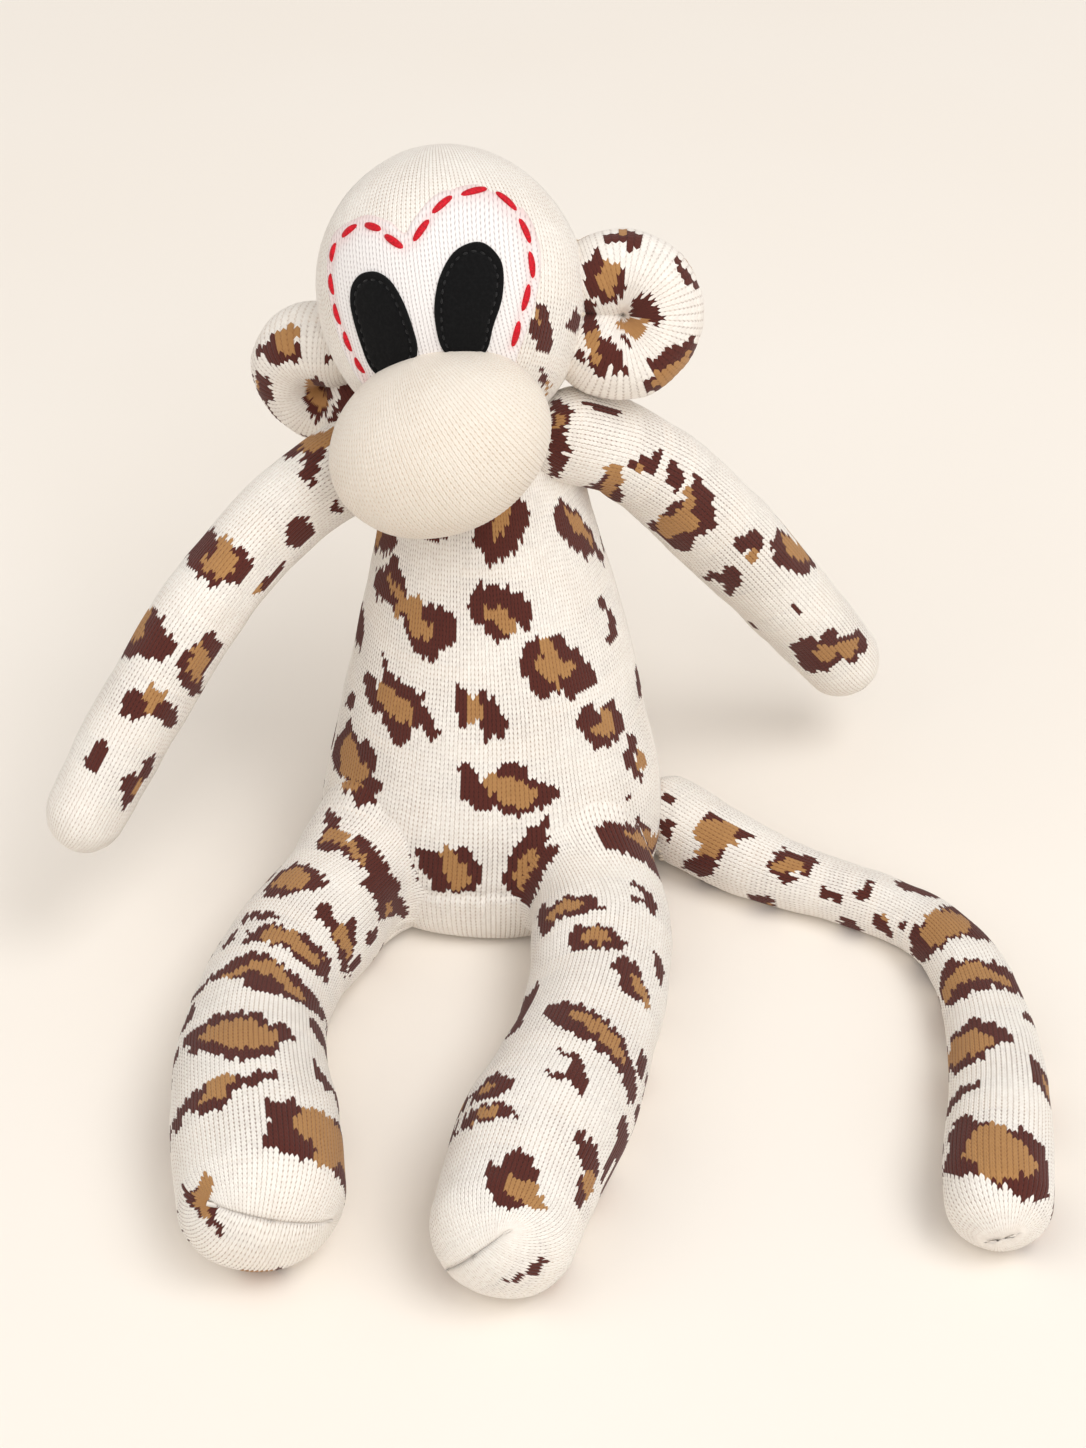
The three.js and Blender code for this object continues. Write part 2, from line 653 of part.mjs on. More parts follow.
function buildHead() {
  const { parts, threadRoom } = buildFace();
  const ears = [earRoot('left'), earRoot('right')];
  const sockets = (extra) => ears.flatMap(({ ends, endRadius }) => (
    ends.map((end) => clearBall(end, endRadius + gap + extra, limbSides))
  ));
  const inner = (lift) => headEgg(lift, coarse);
  const cavity = cut(inner(-sockWall), ...sockets(sockWall));
  const down = new THREE.Vector3(0, 0, -1);
  const opening = hole(new THREE.Vector3(), down, neckOpening, 2 * head.halfHeight);
  const sock = cut(headEgg(0), ...sockets(0), cavity, opening, threadRoom);
  const stuffing = cut(inner(-sockWall - gap), ...sockets(sockWall + gap), threadRoom);
  const group = new THREE.Group();
  group.position.set(0, 0, headRise);
  group.add(piece('head_sock', sock, knitCloth()), piece('head_stuffing', stuffing, stuffingFibre()));
  group.add(...parts, ...buildMuzzle());
  group.add(piece('ear_left_thread', earSeamLoop(ears[0]), sewingThread()));
  group.add(piece('ear_right_thread', earSeamLoop(ears[1]), sewingThread()));
  group.add(buildEar('left'), buildEar('right'));
  return group;
}

function buildNeckAndHead() {
  const neck = new THREE.Group();
  neck.position.copy(headPivot);
  neck.add(piece('neck_thread', neckSeam(threadRadius), sewingThread()));
  const turned = new THREE.Group();
  turned.rotation.copy(headTurn);
  turned.add(buildHead());
  neck.add(turned);
  return neck;
}

const sockMonkey = new THREE.Group();
sockMonkey.name = 'sock_monkey';
sockMonkey.add(
  buildTorso(), buildNeckAndHead(),
  buildArm('left'), buildArm('right'),
  buildLeg('left'), buildLeg('right'),
  buildTail(),
);
sockMonkey.updateMatrixWorld(true);

export default sockMonkey;
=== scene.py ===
import math
import bpy
import numpy as np
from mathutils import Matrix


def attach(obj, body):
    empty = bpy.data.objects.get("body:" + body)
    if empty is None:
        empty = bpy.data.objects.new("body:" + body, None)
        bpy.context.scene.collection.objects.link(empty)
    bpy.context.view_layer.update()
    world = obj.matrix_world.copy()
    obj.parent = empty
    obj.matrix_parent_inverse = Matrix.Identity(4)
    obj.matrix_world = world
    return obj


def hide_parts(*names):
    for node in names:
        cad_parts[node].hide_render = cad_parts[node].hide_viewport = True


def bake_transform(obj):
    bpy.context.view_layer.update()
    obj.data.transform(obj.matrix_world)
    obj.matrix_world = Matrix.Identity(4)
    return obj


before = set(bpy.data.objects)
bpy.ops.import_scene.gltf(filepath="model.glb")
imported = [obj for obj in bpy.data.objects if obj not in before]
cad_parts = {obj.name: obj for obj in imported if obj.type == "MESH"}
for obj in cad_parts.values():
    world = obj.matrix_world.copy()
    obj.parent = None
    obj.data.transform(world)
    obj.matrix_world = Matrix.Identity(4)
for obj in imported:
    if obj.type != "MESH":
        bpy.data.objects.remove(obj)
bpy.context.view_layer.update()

# Lengths are in millimetres until a mesh is made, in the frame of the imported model
MM = 0.001
SEED = 7

# The camera that the photograph was fitted with, and the photograph's own frame in pixels
IMAGE_WIDTH, IMAGE_HEIGHT = 1086, 1448
FOCAL_PIXELS = 2860
LOOKING_DOWN = math.radians(38)
CAMERA_PLACE = np.array([19.6, -837.0, 715.4])
SENSOR_WIDTH = 36
SIGHT_METRES = 50

# Floor in millimetres, and lamps in metres and watts
FLOOR_HALF = 3000
LAMPS_AIM = (0.02, -0.03, 0.08)
LAMPS = {
    "key": {"place": (1.8, -1.0, 3.8), "size": 2.2, "power": 61.0},
    "front": {"place": (1.0, -3.4, 3.0), "size": 3.4, "power": 70.0},
    "fill": {"place": (-2.8, -1.4, 2.6), "size": 3.2, "power": 22.0},
}

# Knitting: the width of a wale, the height of a course, and how a stitch slants and sinks at its edges
WALE = 1.62
COURSE = 1.7
MUZZLE_COURSE = 1.4
SHEAR = 0.62
WALE_GROOVE = 0.22
OPEN_WIDTHS = (0.25, 0.75)
EAR_OPEN_SHARE = 0.55
# Share of painted gap shade spread evenly over stitches too squeezed to show their gaps
EVEN_GAP_SHADE_SHARE = 0.26

# For each knitted piece its wales, the seed of its spots, and the size, depth and seed of its lumps
KNITS = {
    "torso": {"wales": 217, "seed": 1, "lumps": (30, 0.8, 11)},
    "leg_left": {"wales": 100, "seed": 2, "lumps": (26, 0.9, 21)},
    "leg_right": {"wales": 100, "seed": 3, "lumps": (26, 0.9, 31)},
    "arm_left": {"wales": 66, "seed": 4, "lumps": (20, 0.7, 41)},
    "arm_right": {"wales": 66, "seed": 5, "lumps": (20, 0.7, 51)},
    "tail": {"wales": 58, "seed": 6, "lumps": (18, 0.6, 61)},
    "head": {"wales": 170, "seed": 7, "lumps": (28, 0.6, 71)},
    "muzzle": {"wales": 104, "seed": 8, "lumps": (30, 0.5, 81)},
    "ear_left": {"wales": 74, "seed": 9, "lumps": (12, 0.6, 91)},
    "ear_right": {"wales": 74, "seed": 10, "lumps": (12, 0.6, 95)},
}

# Spots: which stitches count as seen, how ragged the ends are, and how far patterns carry on, in stitches
SEEN_FACING = 0.17
RAGGED_SHIFT = 0.85
RAGGED_COURSES = 5
MIRROR_REACH = 7
FLOAT_REACH = 11
FLOAT_LEAST = 0.35
ROSETTE_TRY_STITCHES = 26
ROSETTE_CLEARANCE = 1.75
ROSETTE_SIZES = (5.5, 10.5)
ROSETTE_STRETCHES = (1.0, 1.6)
ROSETTE_CORES = (0.42, 0.62)

# Stuffing: the cloth starts inside its place, is cut larger by a share, and moves no point past a cap
SWELL_PRESSURE = 4
SWELL_FRAMES = 20
SWELL_START = 0.5
SWELL_GROWTH = 0.03
SWELL_CAP = 1.8
SWELL_END_ROWS = 5
SWELL_TOE_LOSS = 0.15
SWELL_SMOOTHINGS = 3

# Points round a coarse ring, and rows in the rounded ends of a limb
LIMB_POINTS = 64
BODY_POINTS = 96
EAR_POINTS = 48
MUZZLE_POINTS = 48
ROOT_ROWS = 7
ROOT_DEGREES = (1, 78)
TOE_ROWS = 12
HIP_ROWS = 9
FLOOR_SOFTNESS = 0.55

# The sewn line across the end of a limb, its places and widths in courses from the end
TOE_SEAM = {"dip": 0.38, "dip_width": 0.8, "ridge": 0.25, "ridge_at": 2.4, "ridge_width": 1.1}

# Torso, with sizes repeated from the solids, and the seam between the legs in pixels
TORSO = {"height": 177, "half_width": 64, "half_depth": 52, "lean_back": 46, "lean_side": 3}
TORSO_SHARES = [
    (0, 0.78, 0.83, -0.11, 0), (0.017, 0.89, 0.92, -0.11, 0), (0.056, 0.97, 0.98, -0.11, 0),
    (0.136, 1, 1, -0.09, 0), (0.25, 0.96, 0.98, -0.02, 0.3), (0.37, 0.875, 0.92, 0.11, 0.3),
    (0.5, 0.79, 0.84, 0.26, 0.3), (0.62, 0.7, 0.76, 0.43, 0), (0.735, 0.615, 0.68, 0.6, -0.3),
    (0.835, 0.55, 0.6, 0.76, -0.6), (0.905, 0.5, 0.54, 0.87, -0.8), (0.955, 0.43, 0.47, 0.94, -0.9),
    (0.99, 0.325, 0.36, 0.99, -1), (1, 0.19, 0.21, 1, -1),
]
CROTCH_MIDDLE = (465, 897)
CROTCH_FROM = (385, 420)
CROTCH_TO = (518, 548)
CROTCH_SAG = 0.0009
CROTCH_HEIGHT = 16
CROTCH_FORM = {"dip": 1.3, "dip_width": 3.2, "ridge": 0.5, "ridge_width": 4, "ridge_below": 7}

# Head and muzzle
HEAD = {"half_width": 46.5, "half_height": 52, "centre": (-12.5, 46, 216.5), "yaw": -7, "roll": -13}
HEAD_SEAM_BACK = 42
HEAD_PLAIN_ABOVE = 6
HEAD_ROWS = 33
HEAD_END_LATITUDE = 87
MUZZLE = {
    "half": (40.5, 31, 31.5), "centre": (-3, -54, -27), "turn": 17, "wale_turn": -2, "lean": -25,
    "reach": 150,
}

# Face patch and its running stitch, traced in the photograph's pixels
PATCH_PIXELS = [
    (368, 392), (344, 355), (329, 305), (325, 265), (333, 230), (362, 213), (388, 219), (404, 231),
    (412, 218), (437, 191), (478, 180), (515, 193), (537, 226), (543, 267), (534, 314), (519, 358),
]
PATCH_UNDER_MUZZLE_SHARES = [(0.43, -0.38), (-0.26, -0.42)]
STITCH_PIXELS = [
    ((375, 389), (367, 381)), ((364, 373), (355, 358)), ((351, 351), (344, 332)), ((340, 324), (334, 304)),
    ((333, 294), (330, 274)), ((331, 261), (335, 243)), ((342, 236), (356, 225)), ((365, 224), (380, 229)),
    ((385, 235), (402, 247)), ((414, 240), (428, 220)), ((433, 212), (451, 196)), ((462, 194), (486, 188)),
    ((497, 192), (516, 209)), ((520, 219), (530, 242)), ((530, 252), (533, 277)), ((529, 285), (523, 310)),
    ((519, 322), (513, 346)),
]
PATCH_MIDDLE_SHARES = (0.03, 0.2)
PATCH_ROWS = 44
PATCH_EDGE_POINTS = 260
PATCH_STITCH = (1.25, 1.35)
PATCH_FORM = {"lift": 0.15, "height": 1.9, "rolled": 2.2, "dip": 0.75, "dip_width": 1.6}
PATCH_PINK_WIDTH = 2.1
# A line of painted shade just inside the patch's edge: its inset and width
PATCH_EDGE_SHADE_INSET = 0.3
PATCH_EDGE_SHADE_WIDTH = 0.6
STITCH_RADIUS = 0.97
STITCH_OVER_SHARE = 0.05
STITCH_LIFT = 1.5

# One stitch of thick thread: its section in radii, how deep its ends sink, and how it thins to a point
SPINDLE_WIDE, SPINDLE_TALL = 1.35, 0.85
SPINDLE_SINK = 0.25
SPINDLE_TAPER, SPINDLE_POINT = 0.35, 0.04
SMALL_STITCH = {"steps": 8, "sides": 8}

# Eyes, traced in the photograph's pixels
EYE_PIXELS = {
    "right": [
        (349, 300), (351, 284), (360, 273), (375, 271), (390, 281), (403, 303), (412, 328), (417, 350),
        (411, 370), (390, 382), (371, 370), (360, 345), (352, 318),
    ],
    "left": [
        (434, 303), (439, 277), (451, 254), (466, 243), (482, 241), (496, 251), (504, 268), (503, 298),
        (494, 327), (488, 350), (475, 363), (455, 363), (441, 348), (435, 325),
    ],
}
EYE_ROWS = 60
EYE_EDGE_POINTS = 120
EYE_SIGHT_LIFT = 3
EYE_FORM = {"lift": 1.9, "height": 1.35, "rolled": 0.8, "dip": 0.6, "dip_width": 0.55}
EYE_SEAM_INSET = 2.3
EYE_STITCH = {"radius": 0.26, "pitch": 3.1, "length": 1.9, "lift": 2.95}

# Ears
EAR = {
    "ring": 14.6, "tube": 13.4, "skin": 14.3, "sink": 5, "sweep": 230, "end_share": 0.88, "blunt": 0.75,
}
EAR_SECTIONS = 33
EAR_SHARES = [1.08, 1.08, 1.04, 1.01, 1, 1.01, 1.04, 1.08, 1.08]
EARS = {
    "left": {"drop": 16, "back": 4, "lean": 24, "rise": 0, "shift": (0, 0, 0)},
    "right": {"drop": 22, "back": 9, "lean": -10, "rise": 12, "shift": (-2.5, 0, -5)},
}

# Arms
ARM = {"radius": 17, "length": 157, "tip": 16, "sections": 7, "blunt": 0.6}
ARM_SEAM = {"width": 0.4, "rise": 0.1, "curve": 0.0, "turn": 35}
ARMS = {
    "left": {
        "pivot": (44.495, 37.348, 162.637), "reach": 19, "shoulder": 25, "droop": 54, "bend": 5,
        "shares": [1.02, 1.06, 1.1, 1.1, 1.07, 1.03, 0.99, 0.92], "shift": (0, 0, -4.3), "shift_fade": 1.2,
        "length_share": 0.985, "depth": 15,
    },
    "right": {
        "pivot": (-50.729, 28.968, 152.891), "reach": 222, "shoulder": -5, "droop": 50, "bend": 2.1,
        "shares": [1, 0.94, 0.9, 0.9, 0.91, 0.91, 0.9, 0.86], "shift": (-1.2, 0, 0.9), "shift_fade": 0,
        "length_share": 0.98, "depth": 9,
    },
}

# Legs, and the hip where their cloth runs on from the torso's
LEG = {"root": 24, "foot": 28, "length": 149, "tip": 22, "sections": 7}
LEGS = {
    "left": {
        "pivot": (38.459, -67.038, 23.5), "headings": [4, 0, -5, -10, -15, -19, -19, -16], "bulge": 5,
        "shares": [0, -0.1, -0.15, 0, 0.35, 0.65, 0.55, 0.1],
        "seam": {"width": 0.62, "rise": 0.3, "curve": -0.05, "turn": 50},
    },
    "right": {
        "pivot": (-54.058, -58.001, 23.5), "headings": [-42, -32, -22, -12, -3, 4, 8, 8], "bulge": 3,
        "shares": [0, -0.1, -0.15, 0, 0.35, 0.8, 0.95, 0.8],
        "seam": {"width": 0.74, "rise": 0.36, "curve": -0.1, "turn": -20},
    },
}
HIP_FLARE = {"round": 3, "top": 3, "side": 15}
HIP_SINK = 0.7
HIP_BACK = 30
HIP_FULLNESS = 10
HIP_END_ROW = 3
HIP_PULL = 0.42

# Tail
TAIL = {"root": 14, "foot": 17, "length": 250, "tip": 16, "sections": 12}
TAIL_PIVOT = (75.911, -7.011, 13.5)
TAIL_SHARES = [0.7, 0.2, -0.5, -0.83, -0.67, -0.37, 0, 0.55, 1.1, 1.45, 1.35]
TAIL_END_SHARE = 0.55
TAIL_HEADINGS = [45, 52, 66, 69, 52, 25, 6, -2, -6, -9, -6]
TAIL_DEPTH = 10
TAIL_SEAM = {"width": 0.2, "rise": -0.12, "curve": 0.0, "turn": 30}

# Whip stitches, in the place of each ring of thread, and the body that each rides on
SEAM_PITCH = 2.6
SEAM_REACH = 1.1
SEAM_STITCH_RADIUS = 0.42
SEAM_POINTS = 180
SEAM_BLUR = 0.09
SEAMS = {
    "leg_left_thread": "torso", "leg_right_thread": "torso", "tail_thread": "tail_seam",
    "neck_thread": "neck", "muzzle_thread": "head", "ear_left_thread": "head", "ear_right_thread": "head",
    "arm_left_thread": "arm_left_seam", "arm_right_thread": "arm_right_seam",
}


# Numbers

def spline(values, places, closed=False):
    """Values at fractional places along the first axis, on a smooth curve through them all."""
    count = len(values)
    first = np.floor(places).astype(int)
    if not closed:
        first = np.clip(first, 0, count - 2)
    t = (places - first).reshape((-1,) + (1,) * (values.ndim - 1))

    def take(step):
        at = first + step
        return values[at % count] if closed else values[np.clip(at, 0, count - 1)]

    a, b, c, d = take(-1), take(0), take(1), take(2)
    return b + t / 2 * (c - a + t * (2 * a - 5 * b + 4 * c - d + t * (3 * (b - c) + d - a)))


def table_at(table, share):
    """Values between those of an evenly spaced table."""
    return np.interp(np.asarray(share) * (len(table) - 1), range(len(table)), table)


def unit(vectors):
    """Vectors with a length of one."""
    vectors = np.asarray(vectors, float)
    return vectors / np.maximum(np.linalg.norm(vectors, axis=-1, keepdims=True), 1e-9)


def smooth_step(low, high, x):
    """A smooth rise from 0 at a low value to 1 at a high one."""
    t = np.clip((x - low) / (high - low), 0, 1)
    return t * t * (3 - 2 * t)


def turns(count):
    """Angles evenly spaced over a whole turn."""
    return 2 * math.pi * np.arange(count) / count


def turned(x, y, angle):
    """Two coordinates after a turn by an angle."""
    return x * math.cos(angle) - y * math.sin(angle), x * math.sin(angle) + y * math.cos(angle)


def rotate(vector, axis, angle):
    """A vector turned about an axis."""
    axis = unit(axis)
    return (vector * math.cos(angle) + np.cross(axis, vector) * math.sin(angle)
            + axis * np.dot(axis, vector) * (1 - math.cos(angle)))


def camera_ways():
    """The way the camera looks, and the way up in its picture."""
    ahead = np.array([0, math.cos(LOOKING_DOWN), -math.sin(LOOKING_DOWN)])
    above = np.array([0, math.sin(LOOKING_DOWN), math.cos(LOOKING_DOWN)])
    return ahead, above


def to_photo(points):
    """Where points lie in the photograph, in its pixels."""
    rel = points - CAMERA_PLACE
    ahead, above = camera_ways()
    depth = rel @ ahead
    x = IMAGE_WIDTH / 2 + FOCAL_PIXELS * rel[..., 0] / depth
    y = IMAGE_HEIGHT / 2 - FOCAL_PIXELS * (rel @ above) / depth
    return x, y


def lattice_noise(points, size, seed):
    """Smooth noise from -1 to 1 over points, with features of a size."""
    rng = np.random.default_rng(seed)
    cells = 32
    grid = rng.uniform(-1, 1, (cells, cells, cells))
    p = np.asarray(points) / size + 16.37
    cell = np.floor(p).astype(int)
    t = p - cell
    t = t * t * (3 - 2 * t)
    total = 0
    for dx in (0, 1):
        for dy in (0, 1):
            for dz in (0, 1):
                at = (cell + np.array([dx, dy, dz])) % cells
                corner = grid[at[..., 0], at[..., 1], at[..., 2]]
                weight = abs(1 - dx - t[..., 0]) * abs(1 - dy - t[..., 1]) * abs(1 - dz - t[..., 2])
                total = total + corner * weight
    return total


# Spots of the leopard knit, traced over each piece in the photograph's pixels: x, y, x, y and so on

BROWN, TAN = 1, 2

TORSO_SPOTS = [
    (BROWN, [368, 528, 362, 550, 366, 560, 378, 554, 382, 560, 390, 556, 398, 545, 394, 528]),
    (TAN, [374, 528, 370, 548, 376, 550, 381, 540, 384, 528]),
    (BROWN, [375, 572, 384, 574, 388, 565, 390, 556, 397, 562, 399, 575, 408, 590, 404, 598, 420, 610, 442,
     608, 447, 617, 456, 622, 458, 640, 452, 650, 441, 658, 436, 665, 420, 662, 413, 652, 404, 640, 403,
     625, 395, 612, 386, 606, 374, 600, 373, 585]),
    (TAN, [386, 576, 391, 580, 395, 590, 403, 598, 412, 598, 420, 602, 422, 625, 432, 632, 433, 642, 426,
     644, 414, 638, 407, 628, 404, 615, 396, 622, 393, 612, 398, 604, 392, 598, 387, 588]),
    (BROWN, [498, 508, 512, 500, 524, 504, 531, 518, 526, 535, 521, 547, 514, 560, 500, 567, 487, 566, 480,
     555, 473, 545, 474, 535, 478, 518, 487, 516]),
    (TAN, [497, 513, 508, 508, 512, 518, 507, 530, 502, 540, 497, 545, 491, 538, 494, 520]),
    (BROWN, [422, 530, 455, 528, 448, 541, 436, 545, 424, 541]),
    (BROWN, [553, 512, 562, 504, 570, 508, 582, 520, 592, 534, 598, 548, 607, 562, 604, 567, 596, 558, 588,
     562, 580, 556, 570, 548, 562, 542, 557, 530]),
    (TAN, [565, 512, 574, 515, 584, 527, 592, 540, 596, 552, 590, 545, 580, 538, 572, 530]),
    (BROWN, [470, 596, 482, 588, 492, 585, 505, 590, 517, 596, 525, 602, 532, 608, 531, 628, 526, 632, 518,
     628, 510, 638, 500, 645, 492, 644, 482, 632, 472, 625, 468, 612]),
    (TAN, [483, 612, 495, 613, 504, 612, 510, 620, 517, 625, 516, 634, 507, 639, 502, 632, 494, 624, 484,
     622]),
    (BROWN, [527, 640, 540, 640, 550, 643, 562, 637, 568, 648, 580, 654, 585, 663, 597, 672, 597, 684, 588,
     692, 580, 698, 572, 702, 560, 695, 548, 697, 538, 702, 533, 690, 522, 682, 520, 660, 524, 650]),
    (TAN, [540, 643, 551, 642, 556, 652, 560, 665, 572, 666, 579, 674, 570, 680, 562, 682, 560, 692, 550,
     686, 546, 678, 536, 672, 536, 662, 544, 660]),
    (BROWN, [596, 603, 604, 601, 610, 612, 617, 622, 618, 638, 612, 646, 606, 648, 607, 642, 611, 636, 609,
     620, 602, 612]),
    (BROWN, [637, 671, 642, 680, 646, 700, 640, 700, 637, 688]),
    (TAN, [642, 682, 647, 700, 643, 700]),
    (BROWN, [381, 658, 386, 668, 394, 680, 404, 685, 412, 692, 421, 694, 425, 703, 420, 712, 428, 716, 433,
     727, 440, 735, 438, 742, 430, 744, 420, 730, 413, 728, 411, 745, 402, 752, 394, 748, 388, 735, 382,
     722, 372, 712, 364, 700, 363, 680, 366, 670, 372, 680, 376, 690, 382, 684, 381, 668]),
    (TAN, [378, 686, 388, 690, 396, 697, 406, 702, 411, 712, 410, 728, 402, 726, 394, 720, 386, 716, 378,
     710, 377, 698]),
    (BROWN, [455, 694, 460, 688, 466, 690, 467, 700, 468, 722, 466, 732, 460, 728, 455, 712]),
    (BROWN, [479, 692, 485, 690, 487, 700, 495, 703, 500, 714, 507, 722, 507, 736, 500, 740, 490, 742, 484,
     744, 481, 730, 481, 715, 480, 700]),
    (TAN, [467, 700, 478, 700, 482, 712, 486, 712, 481, 724, 474, 728, 468, 724]),
    (BROWN, [585, 710, 595, 712, 600, 718, 606, 706, 614, 703, 618, 712, 624, 720, 625, 732, 620, 740, 614,
     746, 606, 750, 600, 754, 590, 748, 586, 738, 578, 732, 577, 722]),
    (TAN, [601, 712, 612, 710, 614, 722, 615, 738, 600, 740, 593, 735, 600, 728, 602, 722]),
    (BROWN, [349, 725, 357, 742, 366, 745, 372, 755, 378, 762, 376, 770, 370, 776, 374, 780, 382, 782, 381,
     796, 374, 800, 364, 803, 355, 800, 350, 790, 341, 780, 332, 772, 331, 755, 335, 740, 343, 732]),
    (TAN, [343, 742, 352, 740, 356, 752, 358, 764, 366, 770, 370, 778, 360, 784, 352, 787, 342, 782, 339,
     768, 340, 752]),
    (BROWN, [458, 766, 466, 768, 470, 768, 474, 778, 482, 784, 488, 777, 500, 776, 498, 768, 508, 766, 520,
     768, 528, 770, 528, 780, 540, 785, 552, 786, 558, 795, 560, 802, 552, 808, 540, 812, 530, 815, 518,
     820, 506, 818, 500, 812, 490, 812, 482, 816, 474, 808, 466, 806, 459, 798, 460, 782]),
    (TAN, [484, 779, 496, 778, 508, 780, 520, 785, 534, 790, 540, 796, 537, 806, 526, 809, 512, 810, 505,
     804, 498, 800, 490, 798, 486, 790]),
    (BROWN, [630, 734, 636, 740, 639, 750, 634, 758, 638, 770, 645, 778, 643, 785, 634, 778, 627, 770, 623,
     760, 628, 750]),
    (TAN, [637, 756, 642, 752, 648, 765, 646, 773, 638, 770]),
    (BROWN, [416, 850, 428, 850, 440, 858, 452, 856, 458, 850, 466, 850, 474, 862, 480, 872, 483, 886, 475,
     892, 462, 893, 450, 894, 434, 895, 426, 880, 418, 870]),
    (TAN, [440, 858, 446, 852, 456, 856, 460, 868, 468, 872, 470, 888, 458, 892, 446, 888, 444, 875, 442,
     866]),
    (BROWN, [626, 798, 632, 797, 630, 803, 625, 802]),
    (BROWN, [361, 606, 364, 625, 362, 645, 359, 654, 352, 635]),
    (BROWN, [351, 692, 354, 705, 351, 718, 344, 706]),
]
LEFT_HIP_SPOTS = [
    (BROWN, [548, 816, 552, 826, 546, 836, 542, 842, 552, 840, 558, 846, 550, 860, 542, 870, 538, 884, 532,
     900, 528, 908, 516, 898, 505, 893, 500, 880, 508, 868, 512, 855, 520, 842, 528, 832, 538, 826]),
    (TAN, [530, 850, 538, 852, 536, 860, 528, 868, 524, 880, 521, 892, 516, 890, 514, 876, 518, 864, 524,
     856]),
    (BROWN, [595, 827, 606, 821, 622, 819, 640, 820, 650, 832, 662, 850, 672, 874, 662, 874, 652, 868, 644,
     860, 630, 852, 618, 848, 606, 842, 597, 838]),
    (TAN, [622, 828, 636, 829, 648, 832, 658, 840, 666, 856, 672, 878, 662, 862, 652, 850, 642, 842, 630,
     836]),
]
RIGHT_HIP_SPOTS = [
    (BROWN, [328, 804, 336, 806, 340, 822, 345, 826, 352, 836, 364, 834, 374, 838, 380, 848, 388, 858, 393,
     868, 396, 876, 402, 880, 404, 888, 395, 892, 386, 886, 378, 878, 370, 868, 362, 864, 352, 856, 340,
     848, 326, 848, 318, 842, 322, 832, 327, 822]),
    (TAN, [325, 830, 335, 825, 345, 824, 352, 835, 358, 845, 368, 856, 372, 862, 362, 862, 352, 852, 344,
     842, 330, 838, 322, 841]),
]
SPOTS = {"torso": TORSO_SPOTS + LEFT_HIP_SPOTS + RIGHT_HIP_SPOTS}
